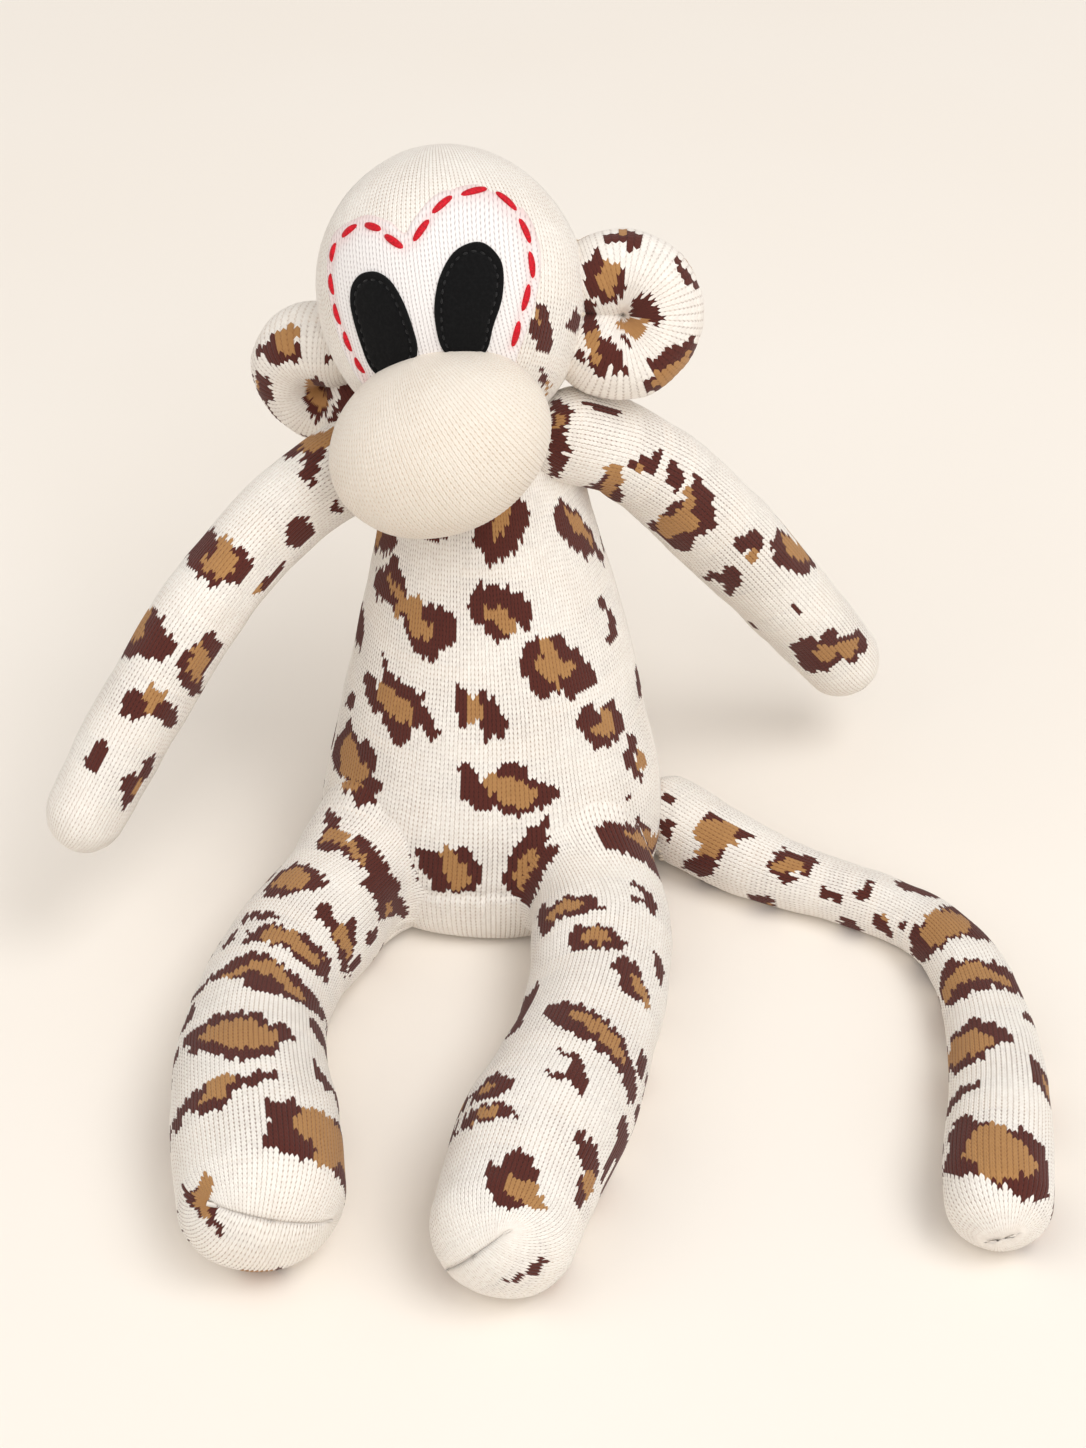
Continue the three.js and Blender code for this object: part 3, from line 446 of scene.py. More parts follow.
SPOTS["leg_left"] = TORSO_SPOTS + LEFT_HIP_SPOTS + [
    (BROWN, [627, 880, 636, 879, 645, 888, 652, 894, 657, 902, 657, 911, 650, 908, 642, 900, 636, 900, 630,
     897, 628, 893, 636, 894, 646, 897, 640, 888, 634, 884]),
    (BROWN, [541, 902, 546, 899, 547, 908, 556, 898, 568, 894, 580, 892, 594, 892, 596, 900, 606, 902, 600,
     908, 590, 906, 580, 912, 566, 914, 556, 920, 548, 928, 543, 934, 539, 926, 537, 914]),
    (TAN, [548, 910, 556, 903, 568, 898, 580, 897, 584, 901, 574, 905, 562, 909, 552, 917, 546, 918]),
    (BROWN, [574, 924, 590, 923, 605, 923, 618, 928, 622, 936, 630, 944, 620, 946, 606, 947, 592, 947, 580,
     945, 570, 947, 566, 938, 572, 930]),
    (TAN, [582, 932, 592, 924, 608, 926, 610, 936, 604, 941, 592, 938, 584, 940]),
    (BROWN, [612, 960, 620, 955, 630, 953, 638, 962, 642, 972, 648, 985, 652, 1000, 645, 998, 638, 1000,
     630, 992, 622, 982, 620, 970, 612, 965]),
    (TAN, [632, 972, 640, 975, 645, 982, 650, 995, 651, 1008, 645, 1000, 640, 992, 632, 984]),
    (BROWN, [654, 951, 660, 952, 665, 970, 663, 985, 657, 970]),
    (BROWN, [545, 1006, 555, 1000, 570, 1000, 585, 1003, 598, 1010, 610, 1018, 620, 1030, 628, 1042, 634,
     1058, 637, 1072, 638, 1090, 634, 1104, 629, 1098, 628, 1085, 622, 1072, 616, 1064, 608, 1052, 598,
     1044, 588, 1038, 575, 1030, 564, 1025, 552, 1018, 544, 1012]),
    (TAN, [568, 1008, 580, 1010, 592, 1014, 604, 1018, 612, 1028, 620, 1040, 628, 1052, 627, 1060, 618,
     1056, 612, 1048, 604, 1040, 596, 1030, 584, 1022, 572, 1016]),
    (BROWN, [556, 1048, 562, 1045, 572, 1050, 582, 1056, 586, 1062, 583, 1068, 592, 1078, 588, 1086, 584,
     1092, 576, 1086, 570, 1078, 560, 1076, 550, 1072, 549, 1066, 556, 1070, 568, 1071, 573, 1062, 566,
     1054]),
    (BROWN, [500, 1067, 502, 1072, 510, 1072, 516, 1080, 508, 1088, 498, 1094, 485, 1098, 470, 1102, 474,
     1090, 486, 1078]),
    (TAN, [488, 1080, 498, 1078, 492, 1086, 480, 1092, 476, 1094]),
    (BROWN, [484, 1102, 500, 1098, 512, 1100, 514, 1108, 524, 1110, 516, 1114, 504, 1113, 494, 1118, 480,
     1120, 468, 1124, 458, 1128, 464, 1114, 474, 1108]),
    (TAN, [478, 1110, 490, 1104, 500, 1102, 496, 1112, 484, 1115, 472, 1118]),
    (BROWN, [577, 1130, 583, 1128, 586, 1136, 592, 1136, 597, 1144, 600, 1152, 602, 1164, 598, 1176, 596,
     1186, 590, 1195, 584, 1202, 580, 1212, 577, 1200, 580, 1176, 588, 1168, 584, 1160, 579, 1150, 576,
     1140]),
    (TAN, [586, 1172, 594, 1168, 598, 1176, 596, 1186, 590, 1195, 586, 1200, 586, 1188]),
    (BROWN, [490, 1160, 500, 1158, 508, 1150, 518, 1146, 528, 1150, 534, 1158, 540, 1170, 538, 1182, 530,
     1196, 524, 1204, 510, 1208, 500, 1205, 494, 1196, 490, 1184, 486, 1174]),
    (TAN, [506, 1176, 514, 1172, 522, 1178, 532, 1176, 538, 1184, 544, 1196, 548, 1206, 542, 1213, 534,
     1205, 526, 1200, 516, 1195, 506, 1190]),
    (BROWN, [625, 1108, 630, 1120, 628, 1132, 622, 1148, 606, 1176, 600, 1190, 606, 1166, 617, 1142, 620,
     1120]),
    (BROWN, [431, 1188, 432, 1205, 428, 1224, 422, 1210]),
    (BROWN, [641, 1046, 648, 1060, 643, 1080, 638, 1066]),
    (BROWN, [550, 1256, 552, 1266, 530, 1280, 512, 1290, 526, 1276, 540, 1264]),
    (BROWN, [540, 976, 539, 988, 532, 1002, 526, 1014, 518, 1028, 508, 1036, 520, 1012, 528, 994]),
]
SPOTS["leg_right"] = TORSO_SPOTS + RIGHT_HIP_SPOTS + [
    (BROWN, [283, 868, 296, 862, 310, 862, 318, 866, 325, 874, 330, 880, 322, 888, 312, 888, 302, 888, 290,
     892, 275, 896, 264, 894, 266, 886, 272, 880]),
    (TAN, [272, 882, 284, 870, 298, 865, 308, 867, 314, 876, 308, 884, 296, 886, 284, 884]),
    (BROWN, [322, 901, 330, 902, 334, 912, 340, 920, 348, 921, 352, 916, 356, 916, 360, 928, 358, 938, 355,
     952, 350, 964, 348, 976, 343, 970, 342, 958, 337, 946, 334, 930, 324, 922, 316, 914, 316, 906]),
    (TAN, [342, 922, 348, 921, 349, 930, 354, 944, 355, 952, 350, 955, 344, 946, 338, 938, 334, 930]),
    (BROWN, [378, 922, 380, 930, 376, 940, 371, 946, 367, 934, 374, 930]),
    (BROWN, [364, 951, 362, 960, 356, 968, 351, 976, 351, 965, 358, 956]),
    (BROWN, [366, 878, 372, 874, 378, 880, 384, 882, 392, 890, 398, 892, 404, 896, 411, 906, 410, 914, 404,
     920, 398, 912, 390, 916, 382, 918, 378, 908, 378, 898, 370, 890, 363, 884]),
    (TAN, [388, 900, 394, 904, 392, 912, 386, 914]),
    (BROWN, [240, 922, 246, 913, 258, 909, 270, 908, 280, 912, 278, 917, 266, 916, 254, 916, 244, 920]),
    (BROWN, [222, 946, 230, 934, 240, 926, 234, 938]),
    (BROWN, [244, 928, 252, 930, 262, 922, 274, 920, 288, 925, 300, 930, 310, 934, 318, 942, 326, 948, 332,
     960, 330, 978, 326, 980, 318, 970, 308, 964, 300, 958, 290, 948, 276, 942, 262, 938, 250, 941, 241,
     940, 250, 935]),
    (TAN, [264, 928, 276, 925, 288, 926, 298, 930, 302, 938, 312, 946, 320, 954, 326, 960, 318, 962, 308,
     956, 298, 950, 286, 940, 272, 940, 262, 936]),
    (BROWN, [192, 994, 206, 978, 222, 966, 236, 955, 250, 949, 262, 951, 270, 953, 284, 962, 298, 974, 306,
     984, 314, 992, 320, 1000, 324, 1010, 328, 1022, 322, 1018, 312, 1008, 300, 1000, 288, 996, 272, 990,
     256, 988, 244, 987, 246, 979, 238, 974, 228, 977, 214, 978]),
    (TAN, [222, 976, 236, 966, 252, 960, 266, 960, 274, 957, 284, 964, 288, 974, 296, 984, 304, 990, 308,
     998, 298, 996, 290, 990, 282, 982, 272, 974, 256, 969, 240, 971, 228, 976]),
    (BROWN, [196, 1000, 194, 1012, 188, 1022, 180, 1034, 170, 1040, 180, 1020, 188, 1006]),
    (BROWN, [181, 1048, 184, 1038, 192, 1026, 204, 1018, 218, 1012, 236, 1008, 252, 1010, 266, 1012, 264,
     1018, 272, 1022, 284, 1020, 290, 1028, 298, 1036, 290, 1038, 280, 1040, 278, 1048, 266, 1052, 256,
     1056, 240, 1056, 226, 1056, 214, 1052, 204, 1048, 194, 1052, 186, 1050, 190, 1042]),
    (TAN, [198, 1034, 208, 1026, 222, 1020, 240, 1015, 252, 1016, 262, 1024, 272, 1026, 280, 1032, 278,
     1040, 264, 1042, 248, 1044, 234, 1042, 222, 1042, 212, 1036, 202, 1040]),
    (BROWN, [230, 1078, 244, 1072, 258, 1066, 260, 1070, 272, 1068, 279, 1070, 276, 1078, 266, 1076, 254,
     1080, 242, 1084, 230, 1088, 228, 1098, 218, 1104, 206, 1110, 198, 1114, 196, 1106, 188, 1108, 182,
     1118, 176, 1132, 170, 1126, 178, 1106, 188, 1096, 196, 1086, 206, 1080, 216, 1076]),
    (TAN, [204, 1084, 214, 1074, 226, 1070, 236, 1072, 226, 1084, 228, 1090, 218, 1094, 206, 1098, 200,
     1104, 196, 1100, 204, 1092]),
    (BROWN, [264, 1098, 274, 1098, 284, 1095, 294, 1096, 298, 1102, 308, 1106, 330, 1112, 340, 1118, 350,
     1134, 356, 1150, 356, 1186, 344, 1182, 336, 1176, 332, 1164, 318, 1152, 304, 1152, 294, 1150, 280,
     1146, 264, 1144, 260, 1136, 268, 1128, 270, 1118, 262, 1112, 268, 1106]),
    (TAN, [296, 1112, 308, 1106, 320, 1108, 330, 1114, 338, 1124, 346, 1136, 350, 1150, 350, 1166, 344,
     1162, 336, 1162, 330, 1166, 320, 1160, 312, 1156, 316, 1148, 312, 1138, 302, 1132, 294, 1124]),
    (BROWN, [180, 1180, 188, 1190, 196, 1184, 205, 1204, 211, 1208, 214, 1222, 222, 1238, 212, 1236, 200,
     1220, 188, 1206, 182, 1194]),
    (TAN, [198, 1178, 206, 1170, 212, 1176, 210, 1190, 208, 1204, 206, 1214, 208, 1226, 200, 1218, 194,
     1206, 190, 1192, 196, 1186]),
    (BROWN, [309, 1012, 316, 1020, 322, 1030, 330, 1042, 332, 1056, 324, 1046, 316, 1034, 310, 1022]),
    (BROWN, [312, 1053, 318, 1064, 324, 1072, 334, 1086, 330, 1092, 320, 1080, 313, 1068]),
]
SPOTS["arm_right"] = [
    (BROWN, [284, 452, 296, 442, 312, 434, 326, 430, 340, 424, 342, 434, 330, 446, 326, 458, 320, 464, 322,
     478, 316, 484, 308, 478, 302, 470, 308, 462, 304, 450, 292, 458]),
    (TAN, [302, 440, 312, 434, 326, 430, 338, 424, 340, 434, 334, 442, 320, 446, 306, 450]),
    (BROWN, [292, 520, 298, 516, 308, 514, 314, 520, 318, 530, 308, 540, 298, 548, 292, 540, 286, 532]),
    (BROWN, [334, 498, 342, 502, 348, 512, 336, 508]),
    (BROWN, [258, 584, 272, 572, 284, 562, 292, 556, 280, 574, 262, 592]),
    (TAN, [260, 582, 268, 578, 264, 588, 258, 592]),
    (BROWN, [196, 534, 204, 524, 210, 519, 217, 526, 218, 536, 222, 545, 230, 546, 236, 542, 244, 542, 250,
     552, 255, 562, 250, 572, 242, 582, 228, 578, 216, 583, 206, 578, 196, 570, 188, 560, 190, 550, 196,
     542]),
    (TAN, [219, 536, 226, 533, 233, 537, 236, 545, 240, 556, 238, 566, 226, 575, 216, 570, 206, 566, 202,
     558, 206, 549, 212, 556, 218, 548]),
    (BROWN, [154, 606, 164, 612, 168, 622, 174, 632, 179, 642, 172, 652, 164, 658, 152, 655, 142, 652, 134,
     656, 126, 650, 120, 646, 132, 632, 142, 618]),
    (TAN, [148, 603, 154, 606, 148, 618, 144, 630, 146, 640, 138, 637, 130, 634, 136, 618]),
    (BROWN, [204, 634, 214, 626, 220, 634, 226, 642, 218, 654, 208, 668, 202, 690, 194, 694, 186, 688, 180,
     678, 182, 668, 178, 660, 184, 648, 194, 644]),
    (TAN, [190, 644, 200, 640, 210, 648, 214, 656, 208, 664, 202, 676, 198, 682, 192, 672, 190, 660, 196,
     652]),
    (BROWN, [124, 696, 134, 684, 142, 686, 150, 690, 160, 696, 170, 698, 178, 704, 182, 712, 176, 724, 170,
     726, 162, 716, 152, 712, 146, 714, 138, 720, 128, 714, 122, 704]),
    (TAN, [146, 694, 154, 680, 160, 684, 168, 692, 166, 700, 158, 702, 150, 712, 145, 708, 148, 702]),
    (BROWN, [96, 742, 102, 735, 108, 740, 114, 742, 108, 752, 102, 762, 94, 772, 88, 764, 86, 756, 92,
     750]),
    (BROWN, [146, 758, 158, 752, 154, 768, 146, 778, 138, 792, 126, 808, 124, 796, 122, 784, 126, 774, 134,
     772, 142, 770]),
    (TAN, [148, 770, 144, 780, 138, 790, 132, 796, 138, 782]),
    (BROWN, [104, 680, 102, 690, 94, 700, 86, 708, 92, 694]),
]
SPOTS["arm_left"] = [
    (BROWN, [548, 402, 562, 402, 570, 406, 566, 416, 562, 424, 564, 438, 568, 444, 562, 456, 562, 466, 556,
     476, 546, 476, 546, 430]),
    (TAN, [552, 416, 560, 416, 560, 426, 554, 430, 548, 424]),
    (BROWN, [576, 490, 584, 482, 594, 482, 602, 470, 614, 462, 618, 466, 618, 480, 620, 492, 618, 502, 604,
     502, 590, 498, 580, 494]),
    (TAN, [602, 464, 614, 462, 618, 466, 618, 480, 612, 490, 606, 498, 598, 496, 596, 486, 602, 478]),
    (BROWN, [640, 452, 648, 456, 656, 448, 662, 452, 660, 462, 654, 468, 650, 476, 642, 470, 634, 468, 626,
     466, 632, 460, 640, 458]),
    (TAN, [634, 464, 642, 466, 640, 472, 634, 470]),
    (BROWN, [668, 460, 674, 462, 678, 470, 682, 478, 680, 486, 674, 492, 668, 486, 662, 480, 666, 472]),
    (BROWN, [690, 476, 698, 470, 700, 480, 708, 486, 712, 494, 706, 498, 714, 508, 716, 518, 710, 524, 704,
     532, 694, 536, 690, 544, 682, 550, 672, 546, 662, 538, 652, 530, 644, 524, 654, 518, 664, 506, 672,
     500, 682, 500, 686, 488]),
    (TAN, [680, 490, 688, 484, 690, 494, 694, 504, 690, 512, 698, 518, 694, 528, 684, 530, 676, 534, 664,
     536, 654, 528, 656, 516, 668, 514, 678, 508, 684, 500]),
    (BROWN, [732, 536, 740, 534, 748, 530, 754, 526, 760, 536, 763, 540, 756, 548, 748, 548, 740, 552, 736,
     546, 730, 542]),
    (TAN, [744, 550, 752, 548, 758, 548, 758, 556, 752, 563, 746, 556]),
    (BROWN, [778, 526, 790, 536, 804, 550, 814, 562, 804, 572, 796, 570, 786, 568, 780, 564, 772, 558, 774,
     550, 768, 546, 770, 540]),
    (TAN, [780, 530, 790, 536, 800, 546, 808, 556, 800, 560, 792, 556, 786, 548, 782, 540]),
    (BROWN, [698, 574, 708, 570, 716, 572, 722, 566, 732, 566, 740, 572, 742, 580, 734, 586, 730, 595, 722,
     592, 722, 584, 712, 578, 704, 578]),
    (BROWN, [786, 646, 792, 640, 800, 638, 808, 634, 816, 640, 818, 634, 828, 626, 836, 630, 838, 638, 846,
     632, 858, 626, 862, 634, 868, 640, 866, 650, 858, 654, 850, 662, 842, 656, 836, 660, 828, 668, 818,
     670, 812, 673, 802, 668, 796, 660, 794, 652]),
    (TAN, [812, 642, 822, 642, 832, 646, 836, 640, 848, 638, 858, 636, 858, 646, 850, 654, 844, 658, 838,
     650, 828, 658, 818, 658, 812, 652, 822, 650]),
    (BROWN, [790, 602, 796, 604, 799, 612, 794, 612, 790, 606]),
    (BROWN, [740, 616, 752, 622, 757, 632, 750, 632, 744, 624]),
    (BROWN, [580, 402, 592, 402, 606, 405, 620, 412, 610, 414, 598, 411, 590, 408]),
]
SPOTS["tail"] = [
    (BROWN, [654, 788, 664, 793, 676, 799, 664, 800, 658, 797]),
    (BROWN, [658, 820, 664, 817, 670, 820, 671, 830, 668, 838, 662, 840, 659, 832]),
    (BROWN, [702, 810, 712, 812, 724, 820, 734, 826, 742, 828, 752, 833, 744, 838, 734, 836, 722, 846, 716,
     856, 714, 864, 708, 868, 706, 874, 700, 878, 692, 872, 682, 868, 678, 864, 684, 860, 692, 856, 696,
     840, 694, 828]),
    (TAN, [690, 824, 698, 818, 710, 817, 722, 820, 734, 826, 734, 836, 728, 844, 722, 848, 714, 850, 708,
     856, 698, 856, 692, 852, 696, 844, 692, 836]),
    (BROWN, [766, 858, 772, 854, 774, 848, 782, 846, 790, 850, 800, 854, 814, 856, 810, 868, 804, 876, 796,
     870, 790, 874, 788, 880, 782, 884, 778, 878, 770, 876, 764, 866]),
    (TAN, [770, 866, 776, 860, 786, 856, 796, 858, 802, 862, 800, 870, 790, 872, 778, 872]),
    (BROWN, [740, 898, 750, 892, 760, 896, 766, 896, 768, 902, 776, 906, 786, 914, 776, 914, 760, 906, 744,
     902]),
    (TAN, [756, 903, 766, 902, 776, 908, 782, 914, 768, 911]),
    (BROWN, [816, 885, 820, 884, 826, 890, 834, 892, 842, 892, 838, 898, 834, 902, 826, 898, 816, 896, 818,
     890]),
    (BROWN, [846, 892, 854, 890, 860, 882, 870, 880, 876, 881, 868, 888, 866, 898, 858, 898, 850, 899]),
    (BROWN, [834, 922, 840, 916, 848, 918, 854, 924, 860, 934, 848, 930, 838, 926]),
    (BROWN, [870, 918, 876, 912, 882, 918, 888, 928, 892, 938, 884, 934, 876, 928, 870, 924]),
    (TAN, [878, 908, 884, 914, 886, 920, 880, 918]),
    (BROWN, [892, 880, 904, 880, 916, 884, 928, 890, 938, 897, 922, 894, 910, 890, 900, 888]),
    (BROWN, [893, 922, 902, 920, 904, 926, 898, 928]),
    (BROWN, [908, 930, 914, 926, 922, 918, 932, 908, 940, 904, 952, 902, 964, 910, 974, 922, 988, 938, 978,
     938, 964, 934, 948, 938, 940, 946, 930, 954, 924, 962, 916, 958, 908, 952, 910, 942]),
    (TAN, [922, 918, 932, 909, 946, 908, 958, 912, 968, 920, 964, 930, 952, 934, 944, 940, 936, 944, 928,
     946, 920, 938, 918, 928]),
    (BROWN, [948, 958, 956, 956, 968, 958, 980, 958, 994, 960, 1006, 966, 1016, 976, 1022, 992, 1006, 988,
     994, 984, 982, 988, 970, 990, 960, 996, 954, 1000, 944, 1004, 938, 990, 940, 974]),
    (TAN, [958, 962, 968, 959, 980, 963, 992, 968, 1004, 974, 1014, 983, 1004, 982, 994, 978, 980, 975, 966,
     978, 954, 984, 948, 992, 944, 1002, 940, 990, 948, 976]),
    (BROWN, [950, 1036, 964, 1022, 972, 1014, 980, 1012, 980, 1018, 994, 1020, 1006, 1026, 1014, 1034, 1014,
     1040, 1004, 1038, 996, 1044, 986, 1050, 982, 1056, 972, 1060, 962, 1066, 954, 1072, 948, 1064]),
    (TAN, [950, 1042, 964, 1030, 974, 1026, 982, 1032, 990, 1032, 994, 1038, 988, 1044, 978, 1050, 966,
     1054, 956, 1062, 948, 1060]),
    (BROWN, [982, 1076, 980, 1084, 970, 1088, 960, 1096, 952, 1106, 944, 1116, 946, 1100, 956, 1090, 966,
     1082, 974, 1080]),
    (BROWN, [1028, 1052, 1034, 1056, 1042, 1066, 1050, 1082, 1050, 1100, 1042, 1090, 1036, 1080, 1030,
     1068]),
    (TAN, [1043, 1074, 1050, 1084, 1052, 1098, 1046, 1090]),
    (BROWN, [952, 1122, 962, 1116, 974, 1110, 976, 1118, 990, 1119, 1014, 1126, 1024, 1126, 1034, 1134,
     1044, 1146, 1050, 1160, 1050, 1196, 1042, 1200, 1034, 1196, 1024, 1198, 1014, 1190, 1004, 1180, 990,
     1176, 976, 1168, 964, 1174, 952, 1172, 942, 1168, 946, 1156, 950, 1146, 946, 1136, 954, 1128]),
    (TAN, [972, 1128, 982, 1122, 994, 1120, 1008, 1124, 1012, 1134, 1022, 1142, 1032, 1152, 1038, 1164,
     1034, 1172, 1022, 1172, 1010, 1174, 998, 1178, 984, 1172, 976, 1168, 980, 1158, 970, 1158, 962, 1150,
     968, 1140]),
    (BROWN, [1020, 1008, 1028, 1012, 1034, 1024, 1026, 1018]),
]
SPOTS["head"] = [
    (BROWN, [536, 298, 542, 304, 549, 312, 548, 326, 552, 340, 551, 350, 547, 356, 536, 354, 534, 342, 528,
     338, 530, 326, 535, 318, 534, 306]),
    (TAN, [534, 314, 538, 318, 542, 328, 540, 334, 536, 326]),
    (BROWN, [576, 310, 580, 316, 580, 328, 576, 337, 568, 334, 566, 326, 572, 322]),
    (BROWN, [540, 368, 543, 376, 547, 386, 544, 392, 538, 384, 537, 376]),
    (TAN, [544, 384, 548, 390, 547, 400, 543, 392]),
]
SPOTS["ear_left"] = [
    (BROWN, [602, 242, 612, 234, 626, 231, 636, 234, 643, 244, 640, 249, 632, 254, 622, 248, 612, 247, 604,
     246]),
    (TAN, [618, 233, 628, 232, 630, 239, 622, 240]),
    (BROWN, [585, 268, 592, 258, 600, 253, 605, 262, 610, 266, 618, 274, 626, 274, 624, 286, 626, 296, 618,
     304, 608, 308, 596, 304, 590, 296, 586, 284]),
    (TAN, [595, 278, 602, 273, 608, 264, 616, 266, 620, 278, 618, 292, 612, 302, 606, 298, 600, 290, 595,
     286]),
    (BROWN, [630, 302, 638, 299, 648, 301, 655, 310, 657, 320, 652, 326, 644, 320, 628, 316]),
    (TAN, [616, 320, 628, 317, 642, 319, 642, 330, 636, 336, 626, 330, 618, 326]),
    (BROWN, [620, 330, 628, 333, 630, 342, 622, 336]),
    (BROWN, [584, 308, 596, 306, 598, 318, 600, 328, 604, 332, 612, 333, 620, 346, 624, 358, 627, 368, 618,
     370, 610, 362, 606, 368, 608, 378, 600, 372, 592, 358, 586, 338]),
    (TAN, [588, 328, 600, 326, 602, 342, 604, 358, 598, 362, 592, 350, 588, 338]),
    (BROWN, [648, 358, 656, 350, 668, 346, 680, 342, 690, 337, 698, 342, 692, 360, 684, 374, 670, 388, 650,
     392, 644, 386, 640, 382, 648, 378, 652, 370, 648, 366]),
    (TAN, [656, 372, 664, 366, 676, 358, 690, 352, 690, 362, 682, 374, 672, 384, 658, 386, 652, 382]),
    (BROWN, [666, 257, 676, 262, 686, 270, 694, 280, 699, 294, 686, 288, 680, 278, 672, 268]),
    (BROWN, [582, 346, 586, 356, 586, 366, 580, 360, 578, 352]),
]
SPOTS["ear_right"] = [
    (BROWN, [262, 338, 270, 332, 278, 334, 292, 340, 302, 344, 303, 354, 294, 358, 276, 359, 266, 356, 254,
     354, 256, 346]),
    (TAN, [275, 332, 284, 326, 292, 320, 300, 328, 296, 338, 292, 348, 280, 349, 274, 342]),
    (BROWN, [248, 362, 254, 368, 262, 374, 268, 382, 268, 394, 264, 404, 264, 416, 270, 430, 260, 430, 250,
     418, 244, 406, 240, 390, 240, 374]),
    (TAN, [246, 378, 252, 374, 256, 384, 258, 396, 256, 404, 250, 398, 245, 388]),
    (BROWN, [308, 378, 316, 374, 322, 380, 328, 388, 334, 396, 330, 408, 326, 418, 316, 426, 308, 418, 304,
     404, 300, 394, 304, 386]),
    (TAN, [302, 382, 310, 380, 318, 392, 326, 398, 330, 404, 324, 414, 318, 412, 310, 402, 302, 392]),
    (BROWN, [342, 384, 352, 388, 366, 392, 360, 404, 348, 412, 340, 426, 328, 426, 334, 412, 342, 402, 340,
     392]),
    (BROWN, [326, 350, 333, 348, 330, 356, 325, 356]),
]


def inside(outline, x, y):
    """Which of many places lie inside an outline."""
    corners = list(zip(outline[0::2], outline[1::2]))
    result = np.zeros(x.shape, bool)
    for (x0, y0), (x1, y1) in zip(corners, corners[1:] + corners[:1]):
        if y0 == y1:
            continue
        crosses = (y0 > y) != (y1 > y)
        result ^= crosses & (x < (x1 - x0) * (y - y0) / (y1 - y0) + x0)
    return result


def dye_of(points, normals, spots, closed, seed):
    """The yarn of each stitch: the photograph's spots where they show, and others of their kind."""
    facing = (normals * unit(CAMERA_PLACE - points)).sum(-1)
    seen = facing > SEEN_FACING
    x, y = to_photo(points)
    x, y = ragged(x, y, seed)
    dye = np.zeros(x.shape, int)
    for yarn, outline in spots:
        dye[inside(outline, x, y) & seen] = yarn
    dye, known = mirror_edges(dye, seen, closed)
    return scatter_spots(points, dye, known, closed, seed)


def ragged(x, y, seed):
    """Places shifted along their wales, each wale by its own amount, so that spots end in flames."""
    rng = np.random.default_rng(seed)
    rows, wales = x.shape
    coarse = rng.uniform(-RAGGED_SHIFT, RAGGED_SHIFT, (rows // RAGGED_COURSES + 2, wales))
    shift = spline(coarse, np.arange(rows) / RAGGED_COURSES)
    return x + np.gradient(x, axis=0) * shift, y + np.gradient(y, axis=0) * shift


def mirror_edges(dye, seen, closed):
    """Carries each spot at the edge of what shows round to the other side, as its mirror image."""
    known = seen.copy()
    wales = dye.shape[1]
    for row in range(dye.shape[0]):
        line = seen[row]
        if not line.any() or line.all():
            continue
        last = np.where(line & ~np.roll(line, -1))[0]
        first = np.where(line & ~np.roll(line, 1))[0]
        for edge, step in [(e, 1) for e in last] + [(e, -1) for e in first]:
            for k in range(1, MIRROR_REACH + 1):
                to, source = edge + step * k, edge - step * (k - 1)
                if not closed and not (0 <= to < wales and 0 <= source < wales):
                    break
                if line[to % wales]:
                    break
                dye[row, to % wales] = dye[row, source % wales]
                known[row, to % wales] = True
    return dye, known


def rosette(near_row, near_wale, size, phase, turn, stretch, core):
    """Which stitches lie in a spot, in the opening of its dark ring and in its tan middle."""
    across, along = turned(near_wale, near_row, turn)
    distance = np.hypot(across * stretch, along)
    angle = np.arctan2(along, across * stretch)
    edge = size * (1 + 0.2 * np.sin(2 * angle + phase[0]) + 0.14 * np.sin(3 * angle + phase[1]))
    opening = (np.cos(angle - phase[2]) > 0.86) & (distance > edge * 0.45)
    return distance < edge * 0.78, opening, distance < edge * core


def scatter_spots(points, dye, known, closed, seed):
    """Rosettes of the same kind where the photograph shows nothing, clear of one another."""
    rng = np.random.default_rng(seed)
    rows, wales = dye.shape
    centres = []
    for _ in range(int(rows * wales / ROSETTE_TRY_STITCHES)):
        row, wale = rng.integers(0, rows), rng.integers(0, wales)
        size, phase, turn = rng.uniform(*ROSETTE_SIZES), rng.uniform(0, 6.28, 3), rng.uniform(0, 3.14)
        stretch, core = rng.uniform(*ROSETTE_STRETCHES), rng.uniform(*ROSETTE_CORES)
        if known[row, wale]:
            continue
        here = points[row, wale]
        if any(np.linalg.norm(here - c) < (size + s) * ROSETTE_CLEARANCE for c, s in centres):
            continue
        near_row = (np.arange(rows) - row)[:, None]
        near_wale = (np.arange(wales) - wale)[None, :]
        if closed:
            near_wale = (near_wale + wales // 2) % wales - wales // 2
        body, opening, middle = rosette(near_row, near_wale, size, phase, turn, stretch, core)
        body &= ~known
        if (body & (dye > 0)).any():
            continue
        dye[body & ~opening] = BROWN
        dye[body & middle] = TAN
        centres.append((here, size))
    return dye


def floats_of(dye):
    """How much of the dark yarn carried behind the white shows, beside the spots along each course."""
    dark = (dye > 0).astype(float)
    total = np.zeros(dark.shape)
    for step in range(-FLOAT_REACH, FLOAT_REACH + 1):
        moved = np.roll(dark, step, axis=1)
        total = np.maximum(total, moved * (1 - abs(step) / (FLOAT_REACH + 1)))
    rng = np.random.default_rng(SEED)
    patchy = rng.uniform(FLOAT_LEAST, 1, dark.shape[0])[:, None]
    return total * patchy * (dye == 0)


# Meshes

